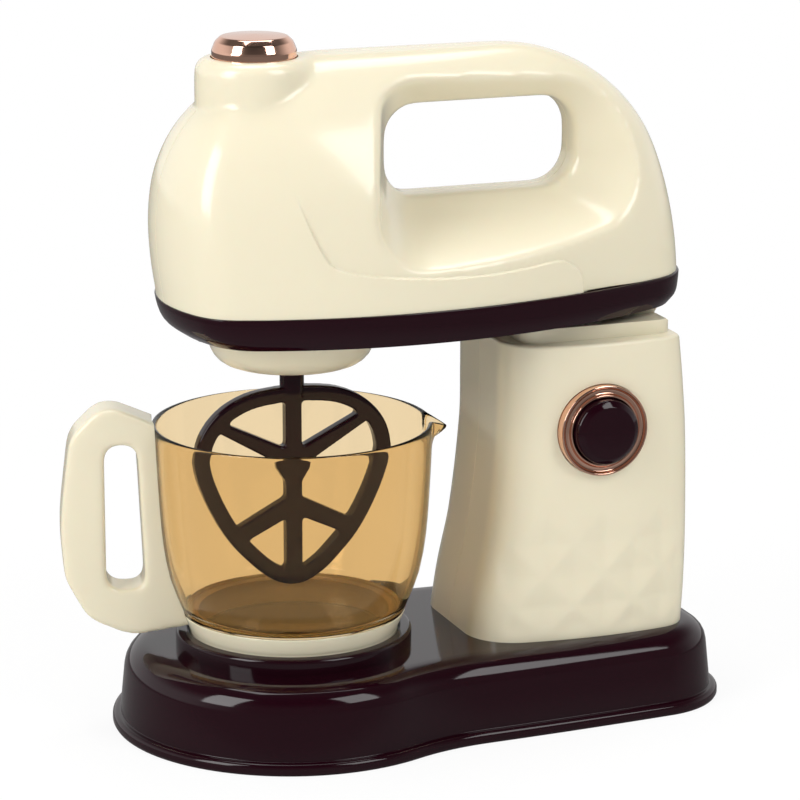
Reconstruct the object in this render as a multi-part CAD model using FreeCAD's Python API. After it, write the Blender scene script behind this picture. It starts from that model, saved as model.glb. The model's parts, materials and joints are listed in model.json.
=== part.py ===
import FreeCAD, Part
import math
import os

# Toy stand mixer in millimetres. +X runs from the bowl to the column, the nose points to -X,
# -Y is the mixer's left side and +Z is up. The origin is on the underside, at the middle of the base's length.

V = FreeCAD.Vector
X_AXIS = V(1, 0, 0)
Y_AXIS = V(0, 1, 0)
Z_AXIS = V(0, 0, 1)

# Fits and walls
RUN_FIT = 0.06
PART_GAP = 0.3
WALL = 2.0
SCREW_R = 1.3
SCREW_HEAD_R = 2.6
SCREW_HEAD_H = 1.2
SCREW_FIT = 0.05

# Base
BASE_LENGTH = 200.0
BASE_END_R = 59.0
BASE_HANDOVER_ANGLE = 112.9
BASE_WAIST_R = 74.0
BASE_WAIST_ANGLE = 92.0
BASE_SIDE_R = 1400.0
BASE_REAR_CORNER = 28.0
LIP_W = 2.2
LIP_H = 3.8
DECK_Z = 26.0
BASE_DRAFT = 2.6
DECK_EDGE_R = 8.0
BASE_WALL = 2.4
COVER_T = 2.4
COVER_FIT = 0.3
SEAT_R = 38.2
SEAT_TOP_Z = 31.0
SEAT_FLOOR_Z = 27.5
SEAT_IN_R = 34.6

# Bowl, measured about its own axis
BOWL_X = -BASE_LENGTH / 2 + BASE_END_R
BOWL_TURN = -13.0
BOWL_RIM_R = 45.0
BOWL_RIM_Z = 98.8
BOWL_WALL = 1.6
BOWL_FLOOR_Z = 35.8
FOOT_R = 33.7
FOOT_TOP_Z = 37.0
FOOT_TOP_R = 36.2
SPOUT_REACH = 5.0
SPOUT_HALF_ANGLE = 8.0
SPOUT_DROP = 10.0
HANDLE_W = 14.0
HANDLE_GAP_IN = 49.5
HANDLE_GAP_OUT = 61.0
HANDLE_GAP_LOW = 46.0
HANDLE_GAP_HIGH = 93.5
HANDLE_GAP_R = 5.0
HANDLE_EDGE_R = 4.5

# Column
COLUMN_TOP_Z = 123.5
COLUMN_FRONT_FLAT = 14.0
COLUMN_FRONT_R = 16.5

# Side button
SIDE_X = BOWL_X + 94.1
SIDE_Z = 95.3
BEZEL_R = 14.9
BEZEL_HOLE_R = 11.0
BEZEL_PROUD = 2.4
SIDE_BUTTON_R = 10.6
SIDE_BUTTON_PROUD = 6.2
SIDE_TRAVEL = 2.5
SIDE_STEM_R = 3.0

# Head
HEAD_SPLIT_Z = 141.0
HEAD_FLOOR_Z = 130.5
HEAD_TOP_Z = 217.0
HEAD_WALL = 2.2
GRIP_X0 = BOWL_X + 29.2
GRIP_X1 = BOWL_X + 94.3
GRIP_Z0 = 170.7
GRIP_Z1 = 199.8
GRIP_CORNER_R = 11.0
GRIP_FLAT_HALF = 6.0
SCOOP_Y = 44.0
SCOOP_X0 = BOWL_X + 13.5
SCOOP_X1 = BOWL_X + 150.0
SCOOP_Z0 = 152.5
SCOOP_Z1 = 236.0
SCOOP_FRONT_R = 18.0
SCOOP_REAR_R = 41.0
TURRET_X = BOWL_X - 12.9
TURRET_R = 19.2
TURRET_TOP_Z = 216.5
TURRET_FOOT_Z = 186.0
TURRET_EDGE_R = 4.4
TOP_BUTTON_R = 13.9
TOP_DISC_R = 11.4
TOP_BUTTON_Z = 222.4
TOP_CROWN = 1.5
TOP_TRAVEL = 3.0
TOP_STEM_R = 3.0

# Tilt hinge
HINGE_X = BOWL_X + 118.0
HINGE_Z = 133.5
HINGE_PIN_R = 2.0
EAR_R = 5.0
EAR_T = 4.0
NECK_X0 = BOWL_X + 70.0
NECK_REAR_X = BOWL_X + 121.9
NECK_CHAMFER_L = 2.3
NECK_CHAMFER_H = 1.7
NECK_HALF = 25.0
NECK_TOP_Z = 128.0

# Beater and drive
SPINDLE_R = 2.5
STUB_R = 3.9
BOSS_TOP_R = 28.4
BOSS_LOW_R = 23.8
BOSS_LOW_Z = 118.6
BOSS_EDGE_R = 8.0
BEATER_TOP_Z = 110.7
BEATER_LOW_Z = 45.1
BEATER_BAR = 5.4
BEATER_T = 4.6
GEAR_MODULE = 0.6
WHEEL_TEETH = 36
PINION_TEETH = 12
FACE_W = 4.0
GEAR_Z = 137.0
AXLE_R = 1.0
MOTOR_R = 10.0
MOTOR_H = 25.0
BACKLASH = 0.12

# Cells
CELL_R = 7.1
CELL_L = 50.0
CELL_X = BOWL_X + 90.0
CELL_Z = 9.6


def arc(a, b, c):
    """An arc edge from a through b to c."""
    return Part.Arc(V(*a), V(*b), V(*c)).toShape()


def line(a, b):
    return Part.makeLine(V(*a), V(*b))


def box(x0, x1, y0, y1, z0, z1):
    return Part.makeBox(x1 - x0, y1 - y0, z1 - z0, V(x0, y0, z0))


def cyl(r, z0, z1, x=0.0, y=0.0):
    return Part.makeCylinder(r, z1 - z0, V(x, y, z0), Z_AXIS)


def cyl_y(r, y0, y1, x, z):
    return Part.makeCylinder(r, y1 - y0, V(x, y0, z), Y_AXIS)


def tube(r_out, r_in, z0, z1, x=0.0, y=0.0):
    return cyl(r_out, z0, z1, x, y).cut(cyl(r_in, z0 - 1, z1 + 1, x, y))


def tube_y(r_out, r_in, y0, y1, x, z):
    return cyl_y(r_out, y0, y1, x, z).cut(cyl_y(r_in, y0 - 1, y1 + 1, x, z))


def group(shapes):
    return Part.makeCompound(shapes)


def turned(points, x=0.0, y=0.0):
    """A solid of revolution about a vertical axis from (radius, height) points."""
    wire = Part.makePolygon([V(r, 0, z) for r, z in points] + [V(points[0][0], 0, points[0][1])])
    solid = Part.Face(wire).revolve(V(0, 0, 0), Z_AXIS, 360)
    solid.translate(V(x, y, 0))
    return solid


def turned_y(points, x, z):
    """A solid of revolution about an axis along Y from (radius, y) points."""
    wire = Part.makePolygon([V(r, y, 0) for r, y in points] + [V(points[0][0], points[0][1], 0)])
    solid = Part.Face(wire).revolve(V(0, 0, 0), Y_AXIS, 360)
    solid.translate(V(x, 0, z))
    return solid


def fillet_edges(shape, radius, test):
    """Rounds the edges whose middle passes the test, and keeps the sharp shape if none does."""
    edges = [e for e in shape.Edges if test(e.CenterOfMass)]
    return shape.makeFillet(radius, edges) if edges else shape


def half(shape, side):
    """The part of a shape on one side of the mid-plane: side is -1 for left and +1 for right."""
    big = 400.0
    y0, y1 = (-big, 0.0) if side < 0 else (0.0, big)
    return shape.common(box(-big, big, y0, y1, -big, big))


def screw(length, x=0.0, y=0.0, z=0.0, direction=Z_AXIS):
    """A pan-head screw whose head's underside is at the point, with its shank along the direction."""
    shank = Part.makeCylinder(SCREW_R, length, V(0, 0, 0), Z_AXIS)
    head = Part.makeCylinder(SCREW_HEAD_R, SCREW_HEAD_H, V(0, 0, -SCREW_HEAD_H), Z_AXIS)
    slot = Part.makeBox(SCREW_HEAD_R * 1.3, 0.6, 0.8, V(-SCREW_HEAD_R * 0.65, -0.3, -SCREW_HEAD_H))
    cross = slot.copy()
    cross.rotate(V(0, 0, 0), Z_AXIS, 90)
    one = shank.fuse(head).cut(slot).cut(cross)
    turn = FreeCAD.Rotation(Z_AXIS, V(*direction))
    one.Placement = FreeCAD.Placement(V(x, y, z), turn)
    return one


def normal_arcs(start, start_angle, arcs):
    """Edges of one flank, walked by the direction of the outward normal from -X round to -Y or +X.

    Each arc is (radius, end angle in degrees), and each starts where the last one ends, in tangency.
    """
    edges = []
    x, y = start
    a0 = start_angle
    for radius, a1 in arcs:
        def at(a):
            dx = radius * (math.cos(math.radians(a0)) - math.cos(math.radians(a)))
            dy = radius * (math.sin(math.radians(a)) - math.sin(math.radians(a0)))
            return (x + dx, y + dy)
        mid = at((a0 + a1) / 2)
        end = at(a1)
        edges.append(((x, y), mid, end))
        x, y = end
        a0 = a1
    return edges


def rounded_outline(corners, y):
    """A closed wire in a plane across Y from (x, z, radius) corners, each rounded by its own radius."""
    count = len(corners)
    ends = []
    for i, (x, z, r) in enumerate(corners):
        px, pz, _ = corners[i - 1]
        nx, nz, _ = corners[(i + 1) % count]
        to_last = V(px - x, 0, pz - z).normalize()
        to_next = V(nx - x, 0, nz - z).normalize()
        if r == 0:
            ends.append((V(x, y, z), None, V(x, y, z)))
            continue
        opening = to_last.getAngle(to_next)
        reach = r / math.tan(opening / 2)
        middle = (to_last + to_next).normalize() * (r / math.sin(opening / 2) - r)
        at = V(x, y, z)
        ends.append((at + to_last * reach, at + middle, at + to_next * reach))
    edges = []
    for i, (start, middle, end) in enumerate(ends):
        if middle is not None:
            edges.append(Part.Arc(start, middle, end).toShape())
        following = ends[(i + 1) % count][0]
        if (following - end).Length > 1e-6:
            edges.append(Part.makeLine(end, following))
    return Part.Wire(edges)


def mirrored_wire(flank, z):
    """A closed plan wire from one flank's arcs and their mirror image, at height z."""
    edges = []
    for a, m, b in flank:
        edges.append(arc((*a, z), (*m, z), (*b, z)))
    end = flank[-1][2]
    if abs(end[1]) > 1e-6:
        edges.append(line((*end, z), (end[0], -end[1], z)))
    for a, m, b in reversed(flank):
        edges.append(arc((b[0], -b[1], z), (m[0], -m[1], z), (a[0], -a[1], z)))
    start = flank[0][0]
    if abs(start[1]) > 1e-6:
        edges.append(line((start[0], -start[1], z), (*start, z)))
    return Part.Wire(Part.__sortEdges__(edges))


# Head body

NOSE_FRONT_R = 60.0 / 42.0
NOSE_CORNER_R = 18.0 / 42.0
NOSE_SIDE_R = 154.0 / 42.0
NOSE_ANGLES = (22.0, 70.0, 90.0)


def head_plan(nose_x, half_w, rear_x, rear_r, z):
    """The head's outline at one height: a blunt nose, a long side arc and a round rear end."""
    f, c, s = half_w * NOSE_FRONT_R, half_w * NOSE_CORNER_R, half_w * NOSE_SIDE_R
    front = normal_arcs((nose_x, 0.0), 0.0, list(zip((f, c, s), NOSE_ANGLES)))
    wide_x, wide_y = front[-1][2]
    centre_x = rear_x - rear_r
    side_r = ((centre_x - wide_x) ** 2 + wide_y ** 2 - rear_r ** 2) / (2 * (wide_y - rear_r))
    meet = 90.0 + math.degrees(math.asin((centre_x - wide_x) / (side_r - rear_r)))
    back = normal_arcs((wide_x, wide_y), 90.0, [(side_r, meet), (rear_r, 180.0)])
    last = back[-1]
    back[-1] = (last[0], last[1], (rear_x, 0.0))
    return mirrored_wire(front + back, z)


# Height above the floor plane, nose x, half width, rear x and rear radius of the head's outlines
HEAD_OUTLINES = [
    (141.0, -42.0, 42.0, 131.6, 24.0),
    (152.0, -43.6, 41.7, 130.7, 23.0),
    (165.0, -44.3, 40.2, 128.4, 21.5),
    (178.0, -43.0, 36.8, 124.6, 19.5),
    (188.0, -39.6, 32.4, 120.2, 17.5),
    (196.0, -34.8, 27.6, 114.6, 15.5),
    (203.0, -28.0, 22.4, 107.6, 13.5),
    (209.0, -19.0, 17.2, 99.0, 11.2),
    (213.5, -9.0, 12.6, 89.5, 8.8),
    (216.2, 0.0, 8.6, 80.0, 6.4),
    (217.0, 6.0, 5.6, 73.0, 4.4),
]


def head_body(inset):
    """The head's closed upper body above the split, drawn in by inset."""
    squeeze = (HEAD_TOP_Z - HEAD_SPLIT_Z - inset) / (HEAD_TOP_Z - HEAD_SPLIT_Z)
    wires = []
    for z, nose, half_w, rear, rear_r in HEAD_OUTLINES:
        height = HEAD_SPLIT_Z + (z - HEAD_SPLIT_Z) * squeeze
        wires.append(head_plan(BOWL_X + nose + inset, half_w - inset, BOWL_X + rear - inset,
                               rear_r - inset, height))
    return Part.makeLoft(wires, True, False)


def rounded_rect(x0, x1, z0, z1, r_front, r_rear, y):
    """A rounded rectangle in a plane across Y, with one radius at its front corners and one at its rear ones."""
    return rounded_outline([(x0, z0, r_front), (x1, z0, r_rear), (x1, z1, r_rear), (x0, z1, r_front)], y)


def grip_cutter(outset):
    """The hand opening: a straight throat on the mid-plane that flares out to both sides."""
    inner = (GRIP_X0 - outset, GRIP_X1 + outset, GRIP_Z0 - outset, GRIP_Z1 + outset,
             GRIP_CORNER_R + outset, GRIP_CORNER_R + outset)
    outer = (SCOOP_X0 - outset, SCOOP_X1 + outset, SCOOP_Z0 - outset, SCOOP_Z1 + outset,
             SCOOP_FRONT_R + outset, SCOOP_REAR_R + outset)
    throat = Part.Face(rounded_rect(*inner, -GRIP_FLAT_HALF)).extrude(V(0, 2 * GRIP_FLAT_HALF, 0))
    shape = throat
    for side in (-1, 1):
        flare = Part.makeLoft([rounded_rect(*inner, side * GRIP_FLAT_HALF),
                               rounded_rect(*outer, side * SCOOP_Y)], True, True)
        shape = shape.fuse(flare)
    return shape


def turret(inset, top_z):
    """The round turret for the top button."""
    solid = cyl(TURRET_R - inset, TURRET_FOOT_Z, top_z, TURRET_X)
    return fillet_edges(solid, TURRET_EDGE_R, lambda p: p.z > top_z - 0.01)


def base_flank(inset):
    """One side of the base's outline: a round front, a slight waist, a long side and a rounded rear corner."""
    a_join, a_waist = math.radians(BASE_HANDOVER_ANGLE), math.radians(BASE_WAIST_ANGLE)
    x_waist = -BASE_END_R * math.cos(a_join) + BASE_WAIST_R * (math.cos(a_waist) - math.cos(a_join))
    x_rear = BASE_LENGTH - BASE_END_R
    cos_side = ((x_waist + BASE_SIDE_R * math.cos(a_waist) + BASE_REAR_CORNER - x_rear)
                / (BASE_SIDE_R - BASE_REAR_CORNER))
    side_angle = math.degrees(math.acos(cos_side))
    front_r = BASE_END_R - inset
    return normal_arcs((BOWL_X - front_r, 0.0), 0.0, [
        (front_r, BASE_HANDOVER_ANGLE),
        (-(BASE_WAIST_R + inset), BASE_WAIST_ANGLE),
        (BASE_SIDE_R - inset, side_angle),
        (BASE_REAR_CORNER - inset, 180.0),
    ])


def base_wire(inset, z):
    return mirrored_wire(base_flank(inset), z)


def base_hull(inset, top_z, edge_r):
    """The base's tapered body up to top_z, with its upper edge rounded."""
    hull = Part.makeLoft([base_wire(LIP_W + inset, 0.0), base_wire(LIP_W + BASE_DRAFT + inset, top_z)], True, True)
    return fillet_edges(hull, edge_r, lambda p: p.z > top_z - 0.01)


COVER_SCREWS = [(BOWL_X + x, side * y) for x, y in ((-30.0, 30.0), (128.0, 27.0)) for side in (-1, 1)]
FOOT_SCREWS = [(BOWL_X + x, side * 21.0) for x in (70.0, 113.0) for side in (-1, 1)]
WIRE_HOLE_R = 2.2
WIRE_R = 0.7
FOOT_WIRE_X = BOWL_X + 82.0
TRAY_WALL = 1.2
TRAY_IN_L = CELL_L + 3.4
TRAY_IN_HALF = 15.2
CELL_Y = 7.4
TRAY_TOP_Z = CELL_Z + CELL_R + 1.0
DOOR_HALF = 14.5
DOOR_X0 = CELL_X - 28.0
DOOR_X1 = CELL_X + 35.0
DOOR_SCREW_X = CELL_X + 31.5
DOOR_FIT = 0.2


def base_shell():
    hull = base_hull(0.0, DECK_Z, DECK_EDGE_R)
    lip = Part.Face(base_wire(0.0, 0.0)).extrude(V(0, 0, LIP_H))
    lip = fillet_edges(lip, 1.6, lambda p: p.z > LIP_H - 0.01)
    collar = fillet_edges(cyl(SEAT_R, DECK_Z - 1, SEAT_TOP_Z, BOWL_X), 1.2, lambda p: p.z > SEAT_TOP_Z - 0.01)
    shell = hull.fuse(lip).fuse(collar)
    shell = shell.cut(base_hull(BASE_WALL, DECK_Z - BASE_WALL, DECK_EDGE_R - BASE_WALL))
    shell = shell.cut(cyl(SEAT_IN_R, SEAT_FLOOR_Z, SEAT_TOP_Z + 1, BOWL_X))
    for x, y in COVER_SCREWS:
        shell = shell.fuse(cyl(3.6, COVER_T, DECK_Z - 1, x, y))
        shell = shell.cut(cyl(SCREW_R + SCREW_FIT, COVER_T - 0.1, 14.0, x, y))
    for x, y in FOOT_SCREWS:
        shell = shell.cut(cyl(SCREW_R + 0.2, DECK_Z - BASE_WALL - 1, DECK_Z + 1, x, y))
    return shell.cut(cyl(WIRE_HOLE_R, DECK_Z - BASE_WALL - 1, DECK_Z + 1, FOOT_WIRE_X))


def base_cover():
    plate = Part.Face(base_wire(LIP_W + BASE_WALL + COVER_FIT, 0.0)).extrude(V(0, 0, COVER_T))
    plate = plate.cut(box(DOOR_X0, DOOR_X1, -DOOR_HALF, DOOR_HALF, -1, COVER_T + 1))
    for x, y in COVER_SCREWS:
        plate = plate.cut(cyl(SCREW_HEAD_R + 0.2, -1, SCREW_HEAD_H + 0.2, x, y))
        plate = plate.cut(cyl(SCREW_R + 0.2, -1, COVER_T + 1, x, y))
    return plate


def battery_parts():
    x0, x1 = CELL_X - TRAY_IN_L / 2, CELL_X + TRAY_IN_L / 2
    tray = box(x0 - TRAY_WALL, x1 + TRAY_WALL, -TRAY_IN_HALF - TRAY_WALL, TRAY_IN_HALF + TRAY_WALL,
               COVER_T + 0.1, TRAY_TOP_Z + TRAY_WALL)
    tray = tray.cut(box(x0, x1, -TRAY_IN_HALF, TRAY_IN_HALF, 0, TRAY_TOP_Z))
    tray = tray.cut(cyl(WIRE_HOLE_R, TRAY_TOP_Z - 1, TRAY_TOP_Z + 3, FOOT_WIRE_X))
    for x in (x0 + 4, x1 - 4):
        for y in (-10.0, 10.0):
            tray = tray.fuse(cyl(2.0, TRAY_TOP_Z + 0.5, DECK_Z - BASE_WALL, x, y))
    boss = cyl(3.0, COVER_T + 0.1, TRAY_TOP_Z, DOOR_SCREW_X)
    tray = tray.fuse(boss.fuse(box(x1 + 0.5, DOOR_SCREW_X, -1, 1, COVER_T + 0.1, TRAY_TOP_Z)))
    tray = tray.cut(cyl(SCREW_R + SCREW_FIT, 0, 12.0, DOOR_SCREW_X))
    cells, plates, coils = [], [], []
    for side in (-1, 1):
        y = side * CELL_Y
        can_x0 = x0 + 2.3 if side > 0 else x1 - 2.3 - (CELL_L - 0.5)
        can = Part.makeCylinder(CELL_R, CELL_L - 1.5, V(can_x0 + (0.0 if side > 0 else 1.0), y, CELL_Z), X_AXIS)
        nub_x = can_x0 + CELL_L - 1.5 if side > 0 else can_x0
        cells.append(can.fuse(Part.makeCylinder(2.7, 1.0, V(nub_x, y, CELL_Z), X_AXIS)))
        plates.append(box(x0, x0 + 0.4, y - 5, y + 5, CELL_Z - 5, CELL_Z + 5))
        plates.append(box(x1 - 0.4, x1, y - 5, y + 5, CELL_Z - 5, CELL_Z + 5))
        coil = spring(3.2, 0.3, 1.3, 2.0)
        coil.rotate(V(0, 0, 0), Y_AXIS, 90 if side > 0 else -90)
        coil.translate(V(x0 + 0.7 if side > 0 else x1 - 0.7, y, CELL_Z))
        coils.append(coil)
    return tray, group(cells), group(plates), group(coils)


def battery_door():
    door = box(DOOR_X0 + DOOR_FIT, DOOR_X1 - DOOR_FIT, -DOOR_HALF + DOOR_FIT, DOOR_HALF - DOOR_FIT, 0, COVER_T)
    door = door.cut(cyl(SCREW_HEAD_R + 0.2, -1, SCREW_HEAD_H + 0.2, DOOR_SCREW_X))
    door = door.cut(cyl(SCREW_R + 0.2, -1, COVER_T + 1, DOOR_SCREW_X))
    for x in (CELL_X - 15.0, CELL_X + 15.0):
        door = door.fuse(box(x - 1, x + 1, -13, 13, COVER_T - 0.1, CELL_Z - CELL_R - 0.05))
    return door


def spring(coil_r, wire_r, height, turns):
    """A coil spring from z = 0 to height along Z, measured between the wire's centre lines, made of half turns."""
    halves = round(2 * turns)
    rise = height / halves
    coil = None
    for k in range(halves):
        side = 1 if k % 2 == 0 else -1
        start = V(side * coil_r, 0, k * rise)
        end = V(-side * coil_r, 0, (k + 1) * rise)
        section = Part.Face(Part.Wire(Part.makeCircle(wire_r, start, Y_AXIS)))
        bend = section.revolve((start + end) / 2, V(side * rise, 0, 2 * coil_r), 180)
        coil = bend if coil is None else coil.fuse(bend)
    return coil


def rod_path(points, r):
    """A round wire along straight runs with ball corners."""
    shape = None
    for a, b in zip(points, points[1:]):
        run = V(*b).sub(V(*a))
        piece = Part.makeCylinder(r, run.Length, V(*a), run)
        shape = piece if shape is None else shape.fuse(piece)
    for corner in points[1:-1]:
        shape = shape.fuse(Part.makeSphere(r, V(*corner)))
    return shape


# Column

# Height, front x and rear x of the column's outlines, from the bowl's axis
COLUMN_OUTLINES = [
    (DECK_Z, 54.0, 127.4),
    (40.0, 56.2, 128.2),
    (60.0, 60.5, 128.5),
    (90.0, 64.0, 127.9),
    (107.0, 64.3, 126.7),
    (COLUMN_TOP_Z, 64.3, 125.0),
]
COLUMN_ANGLES = (80.0, 98.0)
COLUMN_REAR_R = 11.5
COLUMN_WALL = 2.2
COLUMN_SCREWS = [(BOWL_X + 74.0, 48.0), (BOWL_X + 110.0, 48.0), (BOWL_X + 112.0, 113.0)]
SCREW_SEAT_Y = 14.0
SHOULDER_DROP = 2.2
SHOULDER_L = 4.1
COLUMN_REACH = 60.0


def column_wire_at(z, front, rear, inset):
    a1, a2 = (math.radians(a) for a in COLUMN_ANGLES)
    length = rear - front
    side_r = ((length - COLUMN_FRONT_R * (1 - math.cos(a1)) - COLUMN_REAR_R * (1 + math.cos(a2)))
              / (math.cos(a1) - math.cos(a2)))
    flank = normal_arcs((BOWL_X + front + inset, COLUMN_FRONT_FLAT), 0.0, [
        (COLUMN_FRONT_R - inset, COLUMN_ANGLES[0]),
        (side_r - inset, COLUMN_ANGLES[1]),
        (COLUMN_REAR_R - inset, 180.0),
    ])
    return mirrored_wire(flank, z)


def column_body(inset):
    return Part.makeLoft([column_wire_at(z, front, rear, inset) for z, front, rear in COLUMN_OUTLINES], True, False)


def column_shell():
    outer = column_body(0.0)
    inner = column_body(COLUMN_WALL)
    top_under = COLUMN_TOP_Z - COLUMN_WALL
    shell = outer.cut(inner.cut(box(-200, 200, -100, 100, top_under, COLUMN_TOP_Z + 1)))
    high, low = COLUMN_TOP_Z + 0.1, COLUMN_TOP_Z - SHOULDER_DROP
    x0, x1 = NECK_REAR_X + 0.2, NECK_REAR_X + SHOULDER_L
    corners = [(x0, high), (x1, high), (x1, low), (x0, high)]
    wedge = Part.Face(Part.makePolygon([V(x, -COLUMN_REACH, z) for x, z in corners]))
    shell = shell.cut(wedge.extrude(V(0, 2 * COLUMN_REACH, 0)))
    for x, y in FOOT_SCREWS:
        side = 1 if y > 0 else -1
        post = cyl(3.4, DECK_Z, 40.0, x, y).fuse(box(x - 1.2, x + 1.2, min(y, side * 34), max(y, side * 34), DECK_Z, 38.0))
        shell = shell.fuse(post.common(outer)).cut(cyl(SCREW_R + SCREW_FIT, DECK_Z - 1, 37.0, x, y))
    for x, z in COLUMN_SCREWS:
        post = cyl_y(4.2, 0, 40, x, z).fuse(cyl_y(3.4, -40, 0, x, z)).common(outer)
        shell = shell.fuse(post)
        shell = shell.cut(cyl_y(SCREW_HEAD_R + 0.3, SCREW_SEAT_Y, 40, x, z))
        shell = shell.cut(cyl_y(SCREW_R + 0.2, 0, SCREW_SEAT_Y + 1, x, z))
        shell = shell.cut(cyl_y(SCREW_R + SCREW_FIT, -8, 0.5, x, z))
    shell = shell.cut(cyl_y(BEZEL_SLEEVE_R + 0.1, -60, -20, SIDE_X, SIDE_Z))
    shell = shell.cut(cyl_y(BEZEL_R + 0.2, -60, BEZEL_SEAT_Y, SIDE_X, SIDE_Z))
    shell = shell.cut(cyl(WIRE_HOLE_R, top_under - 1, COLUMN_TOP_Z + 1, NECK_WIRE_X))
    for x, y in NECK_SCREWS:
        shell = shell.cut(cyl(SCREW_R + 0.2, top_under - 1, COLUMN_TOP_Z + 1, x, y))
    return shell


NECK_WIRE_X = BOWL_X + 113.0
NECK_SCREWS = [(BOWL_X + x, side * 17.0) for x in (80.0, 106.0) for side in (-1, 1)]
EAR_IN_Y = 10.0


def hinge_bracket():
    block = box(NECK_X0, NECK_REAR_X, -NECK_HALF, NECK_HALF, COLUMN_TOP_Z, NECK_TOP_Z)
    block = fillet_edges(block, 6.0, lambda p: abs(abs(p.y) - NECK_HALF) < 0.01
                         and abs(p.z - (COLUMN_TOP_Z + NECK_TOP_Z) / 2) < 0.01)
    corners = [(HINGE_X - EAR_R, HINGE_Z), (HINGE_X + EAR_R, HINGE_Z), (HINGE_X + 1.6, NECK_TOP_Z - 0.5),
               (HINGE_X - EAR_R, NECK_TOP_Z - 2), (HINGE_X - EAR_R, HINGE_Z)]
    chamfer = [(NECK_REAR_X - NECK_CHAMFER_L, NECK_TOP_Z), (NECK_REAR_X + 1, NECK_TOP_Z),
               (NECK_REAR_X + 1, NECK_TOP_Z - NECK_CHAMFER_H), (NECK_REAR_X, NECK_TOP_Z - NECK_CHAMFER_H),
               (NECK_REAR_X - NECK_CHAMFER_L, NECK_TOP_Z)]
    block = block.cut(Part.Face(Part.makePolygon([V(x, -NECK_HALF - 1, z) for x, z in chamfer])).extrude(
        V(0, 2 * NECK_HALF + 2, 0)))
    for side in (-1, 1):
        y0 = EAR_IN_Y if side > 0 else -EAR_IN_Y - EAR_T
        ear = Part.Face(Part.makePolygon([V(x, y0, z) for x, z in corners])).extrude(V(0, EAR_T, 0))
        block = block.fuse(ear.fuse(cyl_y(EAR_R, y0, y0 + EAR_T, HINGE_X, HINGE_Z)))
    block = block.cut(cyl_y(HINGE_PIN_R, -30, 30, HINGE_X, HINGE_Z))
    block = block.cut(cyl(WIRE_HOLE_R, COLUMN_TOP_Z - 1, NECK_TOP_Z + 1, NECK_WIRE_X))
    for x, y in NECK_SCREWS:
        block = block.cut(cyl(SCREW_R + SCREW_FIT, COLUMN_TOP_Z - 1, NECK_TOP_Z - 0.8, x, y))
    return block


# Side button

BEZEL_SLEEVE_R = 12.4
BEZEL_SEAT_Y = -30.2
BEZEL_FACE_Y = -32.0 - BEZEL_PROUD
BEZEL_END_Y = -24.0
BUTTON_FACE_Y = -32.0 - SIDE_BUTTON_PROUD
GUIDE_Y = -16.0
GUIDE_T = 2.0
SIDE_COIL_R = 5.0
COIL_WIRE_R = 0.4


def switch_bezel():
    return turned_y([
        (BEZEL_HOLE_R, BEZEL_END_Y),
        (BEZEL_SLEEVE_R, BEZEL_END_Y),
        (BEZEL_SLEEVE_R, BEZEL_SEAT_Y),
        (BEZEL_R, BEZEL_SEAT_Y),
        (BEZEL_R, BEZEL_FACE_Y + 1.3),
        (BEZEL_R - 0.5, BEZEL_FACE_Y + 0.4),
        (BEZEL_R - 1.5, BEZEL_FACE_Y),
        (BEZEL_HOLE_R + 0.9, BEZEL_FACE_Y),
        (BEZEL_HOLE_R, BEZEL_FACE_Y + 0.9),
    ], SIDE_X, SIDE_Z)


def side_button():
    flange_y = BEZEL_END_Y + 0.4
    back_y = flange_y + 1.6
    return turned_y([
        (0.0, BUTTON_FACE_Y),
        (5.0, BUTTON_FACE_Y + 0.2),
        (SIDE_BUTTON_R - 2.2, BUTTON_FACE_Y + 0.8),
        (SIDE_BUTTON_R - 0.8, BUTTON_FACE_Y + 1.7),
        (SIDE_BUTTON_R, BUTTON_FACE_Y + 3.2),
        (SIDE_BUTTON_R, flange_y),
        (BEZEL_SLEEVE_R - 0.6, flange_y),
        (BEZEL_SLEEVE_R - 0.6, back_y),
        (SIDE_STEM_R, back_y),
        (SIDE_STEM_R, GUIDE_Y + GUIDE_T + 2.0),
        (0.0, GUIDE_Y + GUIDE_T + 2.0),
    ], SIDE_X, SIDE_Z)


def side_spring():
    y0, y1 = BEZEL_END_Y + 2.0, GUIDE_Y
    coil = spring(SIDE_COIL_R, COIL_WIRE_R, y1 - y0 - 2 * COIL_WIRE_R, 4.5)
    coil.rotate(V(0, 0, 0), X_AXIS, -90)
    coil.translate(V(SIDE_X, y0 + COIL_WIRE_R, SIDE_Z))
    return coil


def side_switch():
    stem_end = GUIDE_Y + GUIDE_T + 2.0
    body = box(SIDE_X - 3.5, SIDE_X + 3.5, stem_end + SIDE_TRAVEL + 1.4, -4.0, SIDE_Z - 3.5, SIDE_Z + 3.5)
    return body.fuse(cyl_y(1.6, stem_end + SIDE_TRAVEL + 0.4, stem_end + SIDE_TRAVEL + 2, SIDE_X, SIDE_Z))


def switch_bracket():
    half_x, half_z = 15.2, 12.0
    plate = box(SIDE_X - half_x, SIDE_X + half_x, GUIDE_Y, GUIDE_Y + GUIDE_T, SIDE_Z - half_z, SIDE_Z + half_z)
    back = box(SIDE_X - 6, SIDE_X + 6, -4.0, -2.4, SIDE_Z - half_z, SIDE_Z + half_z)
    shape = plate.fuse(back)
    for side in (-1, 1):
        x = SIDE_X + side * (half_x - 0.9)
        shape = shape.fuse(box(x - 0.9, x + 0.9, -28.0, GUIDE_Y + 0.5, SIDE_Z - half_z, SIDE_Z + half_z))
        z = SIDE_Z + side * (half_z - 0.8)
        shape = shape.fuse(box(SIDE_X - 6, SIDE_X + 6, GUIDE_Y + 0.5, -3.0, z - 0.8, z + 0.8))
    return shape.cut(cyl_y(SIDE_STEM_R + RUN_FIT, GUIDE_Y - 1, GUIDE_Y + GUIDE_T + 1, SIDE_X, SIDE_Z))


# Head housing

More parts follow.
